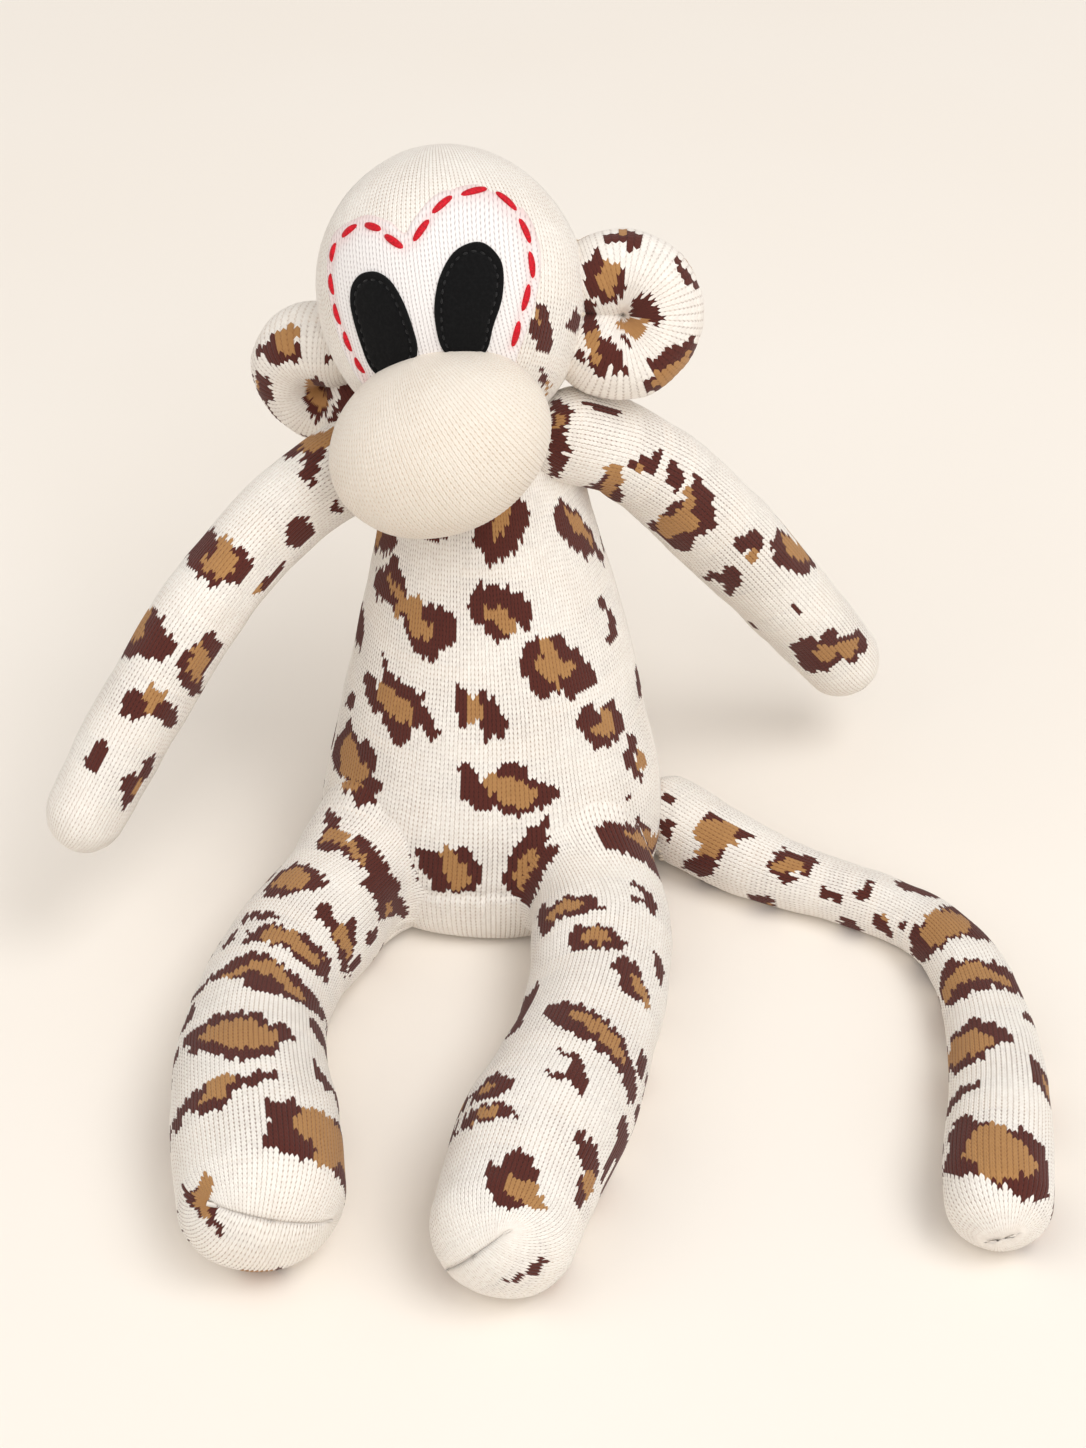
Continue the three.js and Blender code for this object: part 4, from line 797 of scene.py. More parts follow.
def outward_normals(points, closed_rows, closed_columns):
    """The way out of a skin at each point of its grid."""
    def slope(axis, closed, step):
        if closed:
            return np.roll(points, -step, axis) - np.roll(points, step, axis)
        lines = np.arange(points.shape[axis])
        ahead = np.take(points, np.clip(lines + step, 0, lines[-1]), axis)
        behind = np.take(points, np.clip(lines - step, 0, lines[-1]), axis)
        return ahead - behind

    normals = unit(np.cross(slope(1, closed_columns, 2), slope(0, closed_rows, 1)))
    if (normals * (points - points.mean(axis=(0, 1)))).sum() < 0:
        return -normals
    return normals


def winds_inward(points, normals):
    """Whether the faces of a grid look in, judged by one near its middle."""
    row, column = points.shape[0] // 2, points.shape[1] // 3
    corner = points[row, column]
    across = points[row, column + 1] - corner
    along = points[row + 1, column] - corner
    return np.dot(np.cross(across, along), normals[row, column]) < 0


def grid_quads(rows, columns, closed_rows=False, closed_columns=True):
    """The four corners of each face between the points of a grid."""
    last_row = rows if closed_rows else rows - 1
    last_column = columns if closed_columns else columns - 1
    r, c = np.indices((last_row, last_column))
    r2, c2 = (r + 1) % rows, (c + 1) % columns
    return np.stack([r * columns + c, r * columns + c2, r2 * columns + c2, r2 * columns + c], -1)


def end_fans(rows, columns, inward):
    """Triangles that close the first and the last row of a grid, round two points that follow it."""
    ring = np.arange(columns)
    following = (ring + 1) % columns
    fans = []
    for end, line in enumerate((0, rows - 1)):
        pair = (following, ring) if (line == 0) != inward else (ring, following)
        hub = np.full(columns, rows * columns + end)
        fans.append(np.stack([line * columns + pair[0], line * columns + pair[1], hub], -1))
    return np.concatenate(fans)


def make_mesh(name, points, face_groups, materials, smooth=True):
    """A mesh from groups of faces, where each group is an array with the corners of a face in a row."""
    mesh = bpy.data.meshes.new(name)
    mesh.vertices.add(len(points))
    mesh.vertices.foreach_set("co", (np.asarray(points) * MM).astype(np.float32).ravel())
    sizes = np.concatenate([np.full(len(group), group.shape[1]) for group in face_groups])
    corners = np.concatenate([group.ravel() for group in face_groups])
    mesh.loops.add(len(corners))
    mesh.loops.foreach_set("vertex_index", corners.astype(np.int32))
    mesh.polygons.add(len(sizes))
    starts = np.concatenate([[0], np.cumsum(sizes)[:-1]])
    mesh.polygons.foreach_set("loop_start", starts.astype(np.int32))
    mesh.update(calc_edges=True)
    mesh.validate()
    mesh.polygons.foreach_set("use_smooth", np.full(len(mesh.polygons), smooth))
    for material in materials:
        mesh.materials.append(material)
    piece = bpy.data.objects.new(name, mesh)
    bpy.context.scene.collection.objects.link(piece)
    return piece


def corner_values(mesh, name, values):
    """Stores four values at each corner of the faces."""
    layer = mesh.color_attributes.new(name=name, type="FLOAT_COLOR", domain="CORNER")
    layer.data.foreach_set("color", values.astype(np.float32).ravel())


def corner_places(mesh, places):
    """Stores a place in the knit at each corner of the faces."""
    layer = mesh.uv_layers.new(name="stitch")
    layer.data.foreach_set("uv", places.astype(np.float32).ravel())


def per_corner(mesh, quad_values, end_value):
    """Values of the quads at each of their corners, and one value at all corners of the end fans."""
    corners = np.tile(np.array(end_value, float), (len(mesh.loops), 1))
    flat = quad_values.reshape(-1, quad_values.shape[-1])
    corners[:4 * len(flat)] = np.repeat(flat, 4, axis=0)
    return corners


def run_along(coarse, axis):
    """The mean distance from the first line of a grid to each of its lines."""
    lengths = np.linalg.norm(np.diff(coarse, axis=axis), axis=-1).mean(axis=1 - axis)
    return np.concatenate([[0], np.cumsum(lengths)])


def stitch_grid(coarse, wales, course, closed_rows, closed_columns):
    """Points at the edge and in the middle of each wale, with a row of them to a course."""
    run = run_along(np.concatenate([coarse, coarse[:1]]) if closed_rows else coarse, 0)
    courses = max(int(round(run[-1] / course)), 4)
    lines = np.arange(courses if closed_rows else courses + 1)

    def rows_at(shift):
        wanted = (lines + shift) / courses * run[-1]
        wanted = wanted % run[-1] if closed_rows else np.clip(wanted, 0, run[-1])
        return spline(coarse, np.interp(wanted, run, range(len(run))), closed_rows).transpose(1, 0, 2)

    edges, middles = np.arange(wales) / wales, (np.arange(wales) + 0.5) / wales
    if closed_columns:
        edges, middles = edges * coarse.shape[1], middles * coarse.shape[1]
    else:
        across = run_along(coarse, 1)
        edges, middles = (np.interp(share * across[-1], across, range(len(across)))
                          for share in (np.append(edges, 1.0), middles))
    at_edges = spline(rows_at(0), edges, closed_columns).transpose(1, 0, 2)
    at_middles = spline(rows_at(-SHEAR), middles, closed_columns).transpose(1, 0, 2)
    points = np.zeros((len(lines), at_edges.shape[1] + at_middles.shape[1], 3))
    points[:, 0::2] = at_edges
    points[:, 1::2] = at_middles
    return points


def lumps(points, size, depth, seed):
    """How far uneven stuffing raises a skin."""
    large, small = lattice_noise(points, size, seed), lattice_noise(points, size / 2.3, seed + 1)
    return depth * large + depth / 2 * small


def raised_skin(points, normals, lump, relief, open_share):
    """The skin with its uneven stuffing, its sewn lines and a groove between each two wales."""
    middles = points[:, 1::2]
    spread = np.linalg.norm(np.roll(middles, -1, 1) - middles, axis=-1) / WALE
    spread = np.pad(spread, ((0, 0), (0, points[:, 0::2].shape[1] - spread.shape[1])), mode="edge")
    raised = np.zeros(points.shape[:2])
    raised[:, 0::2] -= WALE_GROOVE * open_share * np.clip(spread, 0, 1) ** 2
    form = lumps(points, *lump)
    if relief is not None:
        form = form + relief(points, normals)
    return points + normals * (raised + form)[..., None]


def dye_stitches(mesh, points, dye, seed, inward, quad_shape, open_share):
    """Stores each stitch's yarn, shade and place in the knit at the corners of its faces."""
    shade = np.random.default_rng(seed).uniform(0, 1, dye.shape)
    width = np.linalg.norm(np.diff(points[:, 0::2], axis=1, append=points[:, :1]), axis=-1)
    fade = smooth_step(*OPEN_WIDTHS, width / WALE) * open_share
    r, c = np.indices(quad_shape)
    stitch = c // 2
    yarn, floats = dye[r, stitch], floats_of(dye)[r, stitch]
    dyes = np.stack([yarn == BROWN, yarn == TAN, shade[r, stitch], fade[r, stitch]], -1)
    corner_values(mesh, "dye", per_corner(mesh, dyes, (0, 0, 0, 0)))
    carried = floats[..., None] * np.array([1, 0, 0, 0]) + np.array([0, 0, 0, 1])
    corner_values(mesh, "carried", per_corner(mesh, carried, (0, 0, 0, 1)))
    corner_u = np.stack([c, c + 1, c + 1, c], -1) / 2
    corner_v = np.stack([r, r, r + 1, r + 1], -1)
    if inward:
        corner_u, corner_v = corner_u[..., ::-1], corner_v[..., ::-1]
    places = np.tile([0.25, 0.5], (len(mesh.loops), 1))
    places[:corner_u.size] = np.stack([corner_u, corner_v], -1).reshape(-1, 2)
    corner_places(mesh, places)


def knit(name, coarse, material, relief=None, plain=None, course=COURSE, closed_rows=False,
         closed_columns=True, open_share=1.0):
    """A knitted skin over a coarse grid: two columns of faces to a wale and one row to a course."""
    wales, lump, seed = KNITS[name]["wales"], KNITS[name]["lumps"], SEED + KNITS[name]["seed"]
    points = stitch_grid(coarse, wales, course, closed_rows, closed_columns)
    normals = outward_normals(points, closed_rows, closed_columns)
    points = raised_skin(points, normals, lump, relief, open_share)
    rows, columns = points.shape[:2]
    quads = grid_quads(rows, columns, closed_rows, closed_columns)
    inward = winds_inward(points, normals)
    if inward:
        quads = quads[..., ::-1]
    face_groups, corners = [quads.reshape(-1, 4)], points.reshape(-1, 3)
    if closed_columns:
        face_groups.append(end_fans(rows, columns, inward))
        corners = np.concatenate([corners, points[[0, -1]].mean(axis=1)])
    piece = make_mesh(name, corners, face_groups, [material])

    stitches = points[:len(quads), 1::2]
    dye = np.zeros(stitches.shape[:2], int)
    if name in SPOTS:
        dye = dye_of(stitches, normals[:len(quads), 1::2], SPOTS[name], closed_columns, seed)
    if plain is not None:
        dye[plain(stitches)] = 0
    dye_stitches(piece.data, points, dye, seed, inward, quads.shape[:2], open_share)
    return piece


# Stuffing

def blow_up(start, normals):
    """How far each point of a closed skin moves when a cloth simulation fills it, smoothed."""
    rows, columns = start.shape[:2]
    inward = winds_inward(start, normals)
    quads = grid_quads(rows, columns)
    if inward:
        quads = quads[..., ::-1]
    corners = np.concatenate([start.reshape(-1, 3), start[[0, -1]].mean(axis=1)])
    piece = make_mesh("skin", corners, [quads.reshape(-1, 4), end_fans(rows, columns, inward)], [])
    cloth = piece.modifiers.new("swell", "CLOTH")
    cloth.settings.use_pressure = True
    cloth.settings.uniform_pressure_force = SWELL_PRESSURE
    cloth.settings.shrink_min = -SWELL_GROWTH
    cloth.settings.effector_weights.gravity = 0
    for step in range(1, SWELL_FRAMES + 1):
        bpy.context.scene.frame_set(step)
    swollen = piece.evaluated_get(bpy.context.evaluated_depsgraph_get()).data
    places = np.zeros(len(swollen.vertices) * 3, np.float32)
    swollen.vertices.foreach_get("co", places)
    moved = places.reshape(-1, 3)[:rows * columns].reshape(start.shape) / MM - start
    bpy.context.scene.frame_set(1)
    bpy.data.meshes.remove(piece.data)
    for _ in range(SWELL_SMOOTHINGS):
        padded = np.pad(moved, ((1, 1), (0, 0), (0, 0)), mode="edge")
        moved = (padded[:-2] + 2 * moved + padded[2:]) / 4
        moved = (np.roll(moved, 1, 1) + 2 * moved + np.roll(moved, -1, 1)) / 4
    return moved


def swell(grid):
    """The coarse skin, swollen over its stuffing, with no point moved past a cap."""
    normals = outward_normals(grid, False, True)
    row = np.arange(len(grid))
    root, toe = smooth_step(0, SWELL_END_ROWS, row), smooth_step(0, SWELL_END_ROWS, row[::-1])
    ends = root * (1 - SWELL_TOE_LOSS * (1 - toe))
    start = grid - normals * SWELL_START * ends[:, None, None]
    moved = blow_up(start, normals)
    reach = np.linalg.norm(moved, axis=-1, keepdims=True)
    moved *= np.minimum(1, SWELL_CAP / np.maximum(reach, 1e-9))
    return start + moved * ends[:, None, None]


# Materials

def colour(red, green, blue):
    """A colour from its 0-255 values as seen, in the linear values that a shader takes."""
    values = [v / 255 for v in (red, green, blue)]
    return tuple(v / 12.92 if v <= 0.04045 else ((v + 0.055) / 1.055) ** 2.4 for v in values) + (1.0,)


KNIT_WHITE = colour(255, 250, 242)
# Gap colours are painted shade: each yarn made darker for the hollows between its stitches
KNIT_GAP_SHADE = colour(184, 155, 132)
BROWN_YARN = colour(92, 42, 34)
BROWN_GAP_SHADE = colour(40, 16, 12)
TAN_YARN = colour(184, 137, 86)
TAN_GAP_SHADE = colour(118, 68, 34)
CREAM_YARN = colour(247, 238, 226)
CREAM_GAP_SHADE = colour(214, 190, 163)
CARRIED_YARN = colour(98, 54, 44)
RED_THREAD, RED_SHADE = colour(230, 14, 40), colour(178, 6, 26)
BLACK_THREAD, BLACK_SHADE = colour(26, 25, 26), colour(9, 9, 10)
CREAM_THREAD, CREAM_SHADE = colour(240, 232, 219), colour(205, 190, 170)
FELT_BLACK, FELT_FLUFF, FELT_LINT = colour(3, 3, 4), colour(14, 14, 15), colour(92, 90, 88)
PATCH_WHITE, PATCH_GAP_SHADE, PATCH_FIBRE = colour(246, 242, 240), colour(196, 186, 184), colour(206, 194, 192)
PATCH_PINK, PATCH_EDGE_SHADE = colour(240, 168, 166), colour(222, 180, 168)
FLOOR_DARK, FLOOR_LIGHT = colour(246, 238, 228), colour(247, 240, 231)
BACKDROP = colour(249, 242, 231)
SOFT_LIGHT = (1.0, 0.975, 0.945, 1)
SOFT_LIGHT_STRENGTH = 0.56


def shader(name, roughness, sheen=0.0):
    """A material with one surface and no nodes besides."""
    material = bpy.data.materials.new(name)
    material.use_nodes = True
    nodes = material.node_tree.nodes
    nodes.clear()
    output = nodes.new("ShaderNodeOutputMaterial")
    surface = nodes.new("ShaderNodeBsdfPrincipled")
    surface.inputs["Roughness"].default_value = roughness
    surface.inputs["Specular IOR Level"].default_value = 0.25
    surface.inputs["Sheen Weight"].default_value = sheen
    surface.inputs["Sheen Roughness"].default_value = 0.5
    material.node_tree.links.new(surface.outputs["BSDF"], output.inputs["Surface"])
    return material, surface


class Nodes:
    """Short calls for building a node tree."""

    def __init__(self, material):
        self.tree = material.node_tree

    def new(self, kind, **settings):
        node = self.tree.nodes.new(kind)
        for key, value in settings.items():
            setattr(node, key, value)
        return node

    def link(self, source, target):
        self.tree.links.new(source, target)

    def fill(self, socket, value):
        if isinstance(value, bpy.types.NodeSocket):
            self.link(value, socket)
        elif value is not None:
            socket.default_value = value

    def stitch_place(self):
        """Where a point lies in the knit, in wales across and in courses along."""
        node = self.new("ShaderNodeSeparateXYZ")
        self.link(self.new("ShaderNodeUVMap", uv_map="stitch").outputs["UV"], node.inputs[0])
        return node.outputs["X"], node.outputs["Y"]

    def layer(self, name):
        """The three values of a colour that is stored at the corners of the mesh."""
        node = self.new("ShaderNodeSeparateColor")
        self.link(self.new("ShaderNodeVertexColor", layer_name=name).outputs["Color"], node.inputs[0])
        return node.outputs

    def math(self, operation, a, b=None, c=None):
        node = self.new("ShaderNodeMath", operation=operation)
        for socket, value in zip(node.inputs, (a, b, c)):
            self.fill(socket, value)
        return node.outputs[0]

    def mix(self, share, a, b, blend="MIX"):
        node = self.new("ShaderNodeMix", data_type="RGBA", blend_type=blend)
        self.fill(node.inputs["Factor"], share)
        self.fill(node.inputs["A"], a)
        self.fill(node.inputs["B"], b)
        return node.outputs["Result"]

    def span(self, value, low, high, to_low=0.0, to_high=1.0):
        node = self.new("ShaderNodeMapRange", interpolation_type="SMOOTHSTEP")
        self.fill(node.inputs["Value"], value)
        limits = {"From Min": low, "From Max": high, "To Min": to_low, "To Max": to_high}
        for key, number in limits.items():
            node.inputs[key].default_value = number
        return node.outputs["Result"]

    def noise(self, scale, detail=2.0, roughness=0.5, at=None):
        node = self.new("ShaderNodeTexNoise")
        node.inputs["Scale"].default_value = scale
        node.inputs["Detail"].default_value = detail
        node.inputs["Roughness"].default_value = roughness
        if at is None:
            at = self.new("ShaderNodeTexCoord").outputs["Object"]
        self.link(at, node.inputs["Vector"])
        return node.outputs["Fac"]

    def bump(self, height, distance, strength=1.0, normal=None):
        node = self.new("ShaderNodeBump")
        self.link(height, node.inputs["Height"])
        node.inputs["Distance"].default_value = distance
        node.inputs["Strength"].default_value = strength
        if normal is not None:
            self.link(normal, node.inputs["Normal"])
        return node.outputs["Normal"]


def staggered(n, across, along):
    """The height along a wale, with each wale begun at its own height."""
    wave = n.math("SINE", n.math("MULTIPLY", n.math("FLOOR", across), 12.9898))
    start = n.math("FRACT", n.math("MULTIPLY", wave, 4375.85))
    return n.math("MULTIPLY_ADD", start, 0.6, along)


def knit_material(name, white=KNIT_WHITE, gap_shade=KNIT_GAP_SHADE, spotted=True, sheen=0.12):
    """Knitted yarn: ribs along the wales, hollows between stitches darkened with painted shade, and each
    stitch in its own dye.
    """
    material, surface = shader(name, 0.9, sheen)
    n = Nodes(material)
    across, along = n.stitch_place()
    course = n.math("FRACT", staggered(n, across, along))
    from_middle = n.math("ABSOLUTE", n.math("SUBTRACT", n.math("FRACT", across), 0.5))
    rib = n.math("SUBTRACT", 1.0, n.math("POWER", n.math("MULTIPLY", from_middle, 2.0), 4.0))
    ridge = n.math("MULTIPLY", rib, n.span(from_middle, 0.0, 0.14, 0.72, 1.0))
    round_course = n.math("POWER", n.math("SINE", n.math("MULTIPLY", course, math.pi)), 0.6)
    height = n.math("MULTIPLY", ridge, n.math("MULTIPLY_ADD", round_course, 0.4, 0.6))
    between = n.span(from_middle, 0.25, 0.45)
    hole = n.math("MULTIPLY", between, n.math("MULTIPLY_ADD", round_course, -0.78, 1.0))
    gap_shade_share = n.math("MULTIPLY_ADD", n.span(round_course, 0.0, 0.8, 1.0, 0.0), 0.18, hole)
    brown, tan, shade = n.layer("dye")
    open_share = n.new("ShaderNodeVertexColor", layer_name="dye").outputs["Alpha"]
    fibres = n.noise(2600.0, 3.0, 0.6)
    uneven = n.noise(38.0, 3.0, 0.55)
    # The hollow colour is painted shade in the gaps, with the real dark yarn carried behind the white
    # showing there
    yarn, hollow = white, gap_shade
    if spotted:
        hollow = n.mix(n.math("POWER", n.layer("carried")[0], 0.7), gap_shade, CARRIED_YARN)
        yarn = n.mix(brown, white, BROWN_YARN)
        yarn = n.mix(tan, yarn, TAN_YARN)
        hollow = n.mix(brown, hollow, BROWN_GAP_SHADE)
        hollow = n.mix(tan, hollow, TAN_GAP_SHADE)
    patchy = n.span(uneven, 0.3, 0.7, 0.6, 1.0)
    # Stitches too squeezed to show their gaps get an even share of the painted gap shade
    even_gap_shade = n.math("MULTIPLY", n.math("SUBTRACT", 1.0, open_share), EVEN_GAP_SHADE_SHARE)
    gap_shade_share = n.math("MULTIPLY_ADD", n.math("MULTIPLY", gap_shade_share, open_share), patchy, even_gap_shade)
    height = n.math("MULTIPLY", height, open_share)
    top = n.math("SUBTRACT", 1.0, n.span(gap_shade_share, 0.0, 1.0))
    base = n.mix(top, hollow, yarn)
    shaded = n.mix(n.math("MULTIPLY", shade, 0.1), base, hollow)
    shaded = n.mix(n.span(fibres, 0.35, 0.75, 0.0, 0.07), shaded, hollow)
    shaded = n.mix(n.span(uneven, 0.3, 0.75, 0.0, 0.06), shaded, hollow)
    n.link(shaded, surface.inputs["Base Color"])
    coarse = n.bump(height, 0.0006, 0.6)
    fine = n.bump(fibres, 0.0002, 0.4, coarse)
    n.link(fine, surface.inputs["Normal"])
    return material


def felt_material(name):
    material, surface = shader(name, 0.95, 0.02)
    n = Nodes(material)
    fluff = n.noise(900.0, 5.0, 0.7)
    lint = n.noise(260.0, 6.0, 0.75)
    base = n.mix(n.span(fluff, 0.4, 0.7), FELT_BLACK, FELT_FLUFF)
    base = n.mix(n.span(lint, 0.68, 0.76, 0.0, 0.3), base, FELT_LINT)
    n.link(base, surface.inputs["Base Color"])
    n.link(n.bump(fluff, 0.0004, 0.8), surface.inputs["Normal"])
    return material


def thread_material(name, light, dark, roughness=0.55, sheen=0.2):
    material, surface = shader(name, roughness, sheen)
    n = Nodes(material)
    ply = n.noise(1400.0, 4.0, 0.65)
    n.link(n.mix(n.span(ply, 0.35, 0.7), dark, light), surface.inputs["Base Color"])
    n.link(n.bump(ply, 0.0003, 0.7), surface.inputs["Normal"])
    return material


leopard = knit_material("leopard_knit")
cream = knit_material("muzzle_knit", CREAM_YARN, CREAM_GAP_SHADE, spotted=False, sheen=0.2)
felt = felt_material("black_felt")
red_thread = thread_material("red_thread", RED_THREAD, RED_SHADE, sheen=0.03)
black_thread = thread_material("black_thread", BLACK_THREAD, BLACK_SHADE)
cream_thread = thread_material("cream_thread", CREAM_THREAD, CREAM_SHADE)


# Forms

def rings(centres, across, upright, radii_across, radii_upright, count=LIMB_POINTS):
    """A coarse grid of oval sections."""
    angles = turns(count)
    wide = across[:, None] * (radii_across[:, None] * np.cos(angles))[..., None]
    tall = upright[:, None] * (radii_upright[:, None] * np.sin(angles))[..., None]
    return centres[:, None] + wide + tall


def toe_rows(centre, tangent, across, upright, radius, tip, seam):
    """The closed end of a sock: its rows draw in to a seam that crosses the rounded end."""
    angles = turns(LIMB_POINTS)
    start = np.stack([np.cos(angles), np.sin(angles)], -1)
    turn = math.radians(seam["turn"])
    along = seam["width"] * np.cos(angles - turn)
    beside = seam["rise"] + seam["curve"] * np.cos(angles - turn) ** 2
    finish = np.stack(turned(along, beside, turn), -1)
    rows = []
    for k in range(1, TOE_ROWS + 1):
        share = 1 - math.cos(math.pi / 2 * k / TOE_ROWS)
        flat = start * (1 - share) + finish * share
        depth = tip * np.sqrt(np.clip(1 - (flat ** 2).sum(-1), 0, 1))
        row = centre + radius * (flat[:, :1] * across + flat[:, 1:] * upright) + depth[:, None] * tangent
        rows.append(row)
    return np.stack(rows)


def root_rows(centre, tangent, across, upright, radius, count=LIMB_POINTS, depth=0.0, blunt=1.0):
    """The rounded, gathered start of a limb."""
    angles = np.radians(np.linspace(*ROOT_DEGREES, ROOT_ROWS - 1))
    centres = centre - tangent * (radius * np.cos(angles) + depth)[:, None]
    radii = radius * np.sin(angles) ** blunt
    across, upright = (np.repeat(way[None], len(angles), 0) for way in (across, upright))
    return rings(centres, across, upright, radii, radii, count)


def limb_frames(tangents, flat):
    """The way across and the way up at each place of a limb."""
    across = unit(np.cross(np.broadcast_to(flat, tangents.shape), tangents))
    return across, unit(np.cross(tangents, across))


def floor_spine(pivot, size, shares, headings):
    """The middle line of a limb that lies on the floor, with its directions and radii."""
    step = size["length"] / size["sections"]
    share = np.arange(size["sections"] + 1) / size["sections"]
    angles = np.radians(table_at(headings, share))
    tangents = np.stack([np.sin(angles), -np.cos(angles), np.zeros(len(angles))], -1)
    centres = np.concatenate([np.zeros((1, 3)), np.cumsum(tangents[1:] * step, axis=0)])
    radii = size["root"] + (size["foot"] - size["root"]) * table_at(shares, share)
    centres[:, 2] = radii - size["root"]
    return centres + np.array(pivot), tangents, radii


def refine(values, factor=4):
    """Values with others between them on a smooth curve."""
    places = np.linspace(0, len(values) - 1, (len(values) - 1) * factor + 1)
    return spline(values, places)


def rest_on_floor(points):
    """Points that would sink under the floor flatten against it."""
    out = points.copy()
    z = points[..., 2]
    out[..., 2] = 0.5 * (z + np.sqrt(z * z + 4 * FLOOR_SOFTNESS ** 2))
    return out


def limb_grid(centres, tangents, radii, flat, tip, seam, depth, blunt=1.0):
    """A coarse grid over a whole limb, from its gathered root to its sewn toe."""
    centres, tangents, radii = refine(centres), unit(refine(tangents)), refine(radii)
    across, upright = limb_frames(tangents, flat)
    body = rings(centres, across, upright, radii, radii)
    root = root_rows(centres[0], tangents[0], across[0], upright[0], radii[0], depth=depth, blunt=blunt)
    toe = toe_rows(centres[-1], tangents[-1], across[-1], upright[-1], radii[-1], tip, seam)
    return np.concatenate([root, body, toe])


def toe_seam(points, normals):
    """How far the sewn line across the end of a limb sinks, and the cloth before it rises."""
    back = np.arange(points.shape[0])[::-1]
    form = TOE_SEAM
    dip = form["dip"] * np.exp(-(back / form["dip_width"]) ** 2)
    ridge = form["ridge"] * np.exp(-((back - form["ridge_at"]) / form["ridge_width"]) ** 2)
    return np.repeat((ridge - dip)[:, None], points.shape[1], 1)


def place(piece, body, replaced):
    """Hands a stuffed skin over to the frame."""
    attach(piece, body)
    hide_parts(*replaced)


# Torso

def torso_section(height):
    """The torso's half width and half depth at a height, and the middle of that section."""
    share = height / TORSO["height"]
    table = np.array(TORSO_SHARES)
    width, depth, back, side = (np.interp(share, table[:, 0], table[:, k]) for k in range(1, 5))
    return (width * TORSO["half_width"], depth * TORSO["half_depth"],
            TORSO["lean_side"] * side, TORSO["lean_back"] * back)


def torso_grid():
    """The torso's sections, one above another."""
    smooth = refine(np.array(TORSO_SHARES))
    centres = np.stack([TORSO["lean_side"] * smooth[:, 4], TORSO["lean_back"] * smooth[:, 3],
                        TORSO["height"] * smooth[:, 0]], -1)
    across = np.repeat([[1.0, 0, 0]], len(smooth), 0)
    back = np.repeat([[0, 1.0, 0]], len(smooth), 0)
    return rings(centres, across, back, TORSO["half_width"] * smooth[:, 1],
                 TORSO["half_depth"] * smooth[:, 2], BODY_POINTS)


def crotch_seam(points, normals):
    """The seam across the front between the legs."""
    x, y = to_photo(points)
    sag = CROTCH_SAG * (x - CROTCH_MIDDLE[0]) ** 2
    line = CROTCH_MIDDLE[1] - sag + 1.3 * np.sin(x / 3.3) + 0.8 * np.sin(x / 1.7)
    begun, ended = smooth_step(*CROTCH_FROM, x), smooth_step(*CROTCH_TO, x)
    form = CROTCH_FORM
    dip = np.exp(-((y - line) / form["dip_width"]) ** 2) * begun * (1 - ended)
    ridge = np.exp(-((y - line - form["ridge_below"]) / form["ridge_width"]) ** 2) * begun * (1 - ended)
    front = normals[..., 1] < 0
    return front * (-form["dip"] * dip + form["ridge"] * ridge)


def below_crotch(points):
    """Which stitches have no spots, as they lie under the seam."""
    _, y = to_photo(points)
    return (points[..., 2] < CROTCH_HEIGHT) & (points[..., 1] < 0) & (y > CROTCH_MIDDLE[1])


def build_torso():
    grid = rest_on_floor(swell(torso_grid()))
    piece = knit("torso", grid, leopard, crotch_seam, below_crotch)
    place(piece, "torso", ["torso_sock", "torso_stuffing"])


# Limbs

def on_torso(points, lift):
    """Points moved straight out or in to the torso's skin at their own height."""
    width, depth, x, y = torso_section(points[..., 2])
    rel = np.stack([points[..., 0] - x, points[..., 1] - y], -1)
    way = unit(rel)
    reach = 1 / np.hypot(way[..., 0] / (width + lift), way[..., 1] / (depth + lift))
    out = points.copy()
    out[..., :2] = np.stack([x, y], -1) + way * reach[..., None]
    return out


def hip_rows(centre, tangent, across, upright, radius, last):
    """The start of a leg, up to a last row: its cloth runs on from the torso's skin in a soft hollow."""
    angles = turns(LIMB_POINTS)
    outward = np.cos(angles)[:, None] * across + np.sin(angles)[:, None] * upright
    rising = np.clip(np.sin(angles), 0, 1)
    outer = np.clip(np.cos(angles) * np.sign(centre[0]), 0, 1)
    flare = HIP_FLARE["round"] + HIP_FLARE["top"] * rising ** 1.5 + HIP_FLARE["side"] * outer ** 1.2
    back = tangent * (HIP_BACK * outer ** 1.5)[:, None]
    first = on_torso(centre + outward * (radius + flare + 2)[:, None] - back, -HIP_SINK)
    second = on_torso(centre + outward * (radius + flare * 0.4)[:, None] - back * 0.7,
                      0.3 + HIP_FULLNESS * outer ** 1.5)
    pull = np.linalg.norm(last - first, axis=-1, keepdims=True) * HIP_PULL
    leaving, arriving = first + unit(second - first) * pull, last - tangent * pull
    rows = []
    for k in range(HIP_ROWS):
        t = k / HIP_ROWS
        ends = (1 - t) ** 3 * first + t ** 3 * last
        rows.append(ends + 3 * t * (1 - t) ** 2 * leaving + 3 * t * t * (1 - t) * arriving)
    return np.stack(rows)


def build_leg(side):
    leg = LEGS[side]
    centres, tangents, radii = floor_spine(leg["pivot"], LEG, leg["shares"], leg["headings"])
    centres, tangents, radii = refine(centres), unit(refine(tangents)), refine(radii)
    across, upright = limb_frames(tangents, (0, 0, 1))
    hip_share = np.clip(1 - np.linspace(0, 1, len(radii)) / 0.5, 0, 1) ** 1.3
    bulge = leg["bulge"] / 2 * hip_share
    outward = across * math.copysign(1, leg["pivot"][0])
    body = rings(centres + outward * bulge[:, None], across, upright, radii + bulge, radii)
    hip = hip_rows(centres[0], tangents[HIP_END_ROW], across[0], upright[0], radii[0], body[HIP_END_ROW])
    toe = toe_rows(centres[-1], tangents[-1], across[-1], upright[-1], radii[-1], LEG["tip"], leg["seam"])
    limb = swell(np.concatenate([body[HIP_END_ROW:], toe]))
    piece = knit(f"leg_{side}", rest_on_floor(np.concatenate([hip, limb])), leopard, toe_seam)
    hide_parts(f"leg_{side}_sock", f"leg_{side}_stuffing")
    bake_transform(piece)


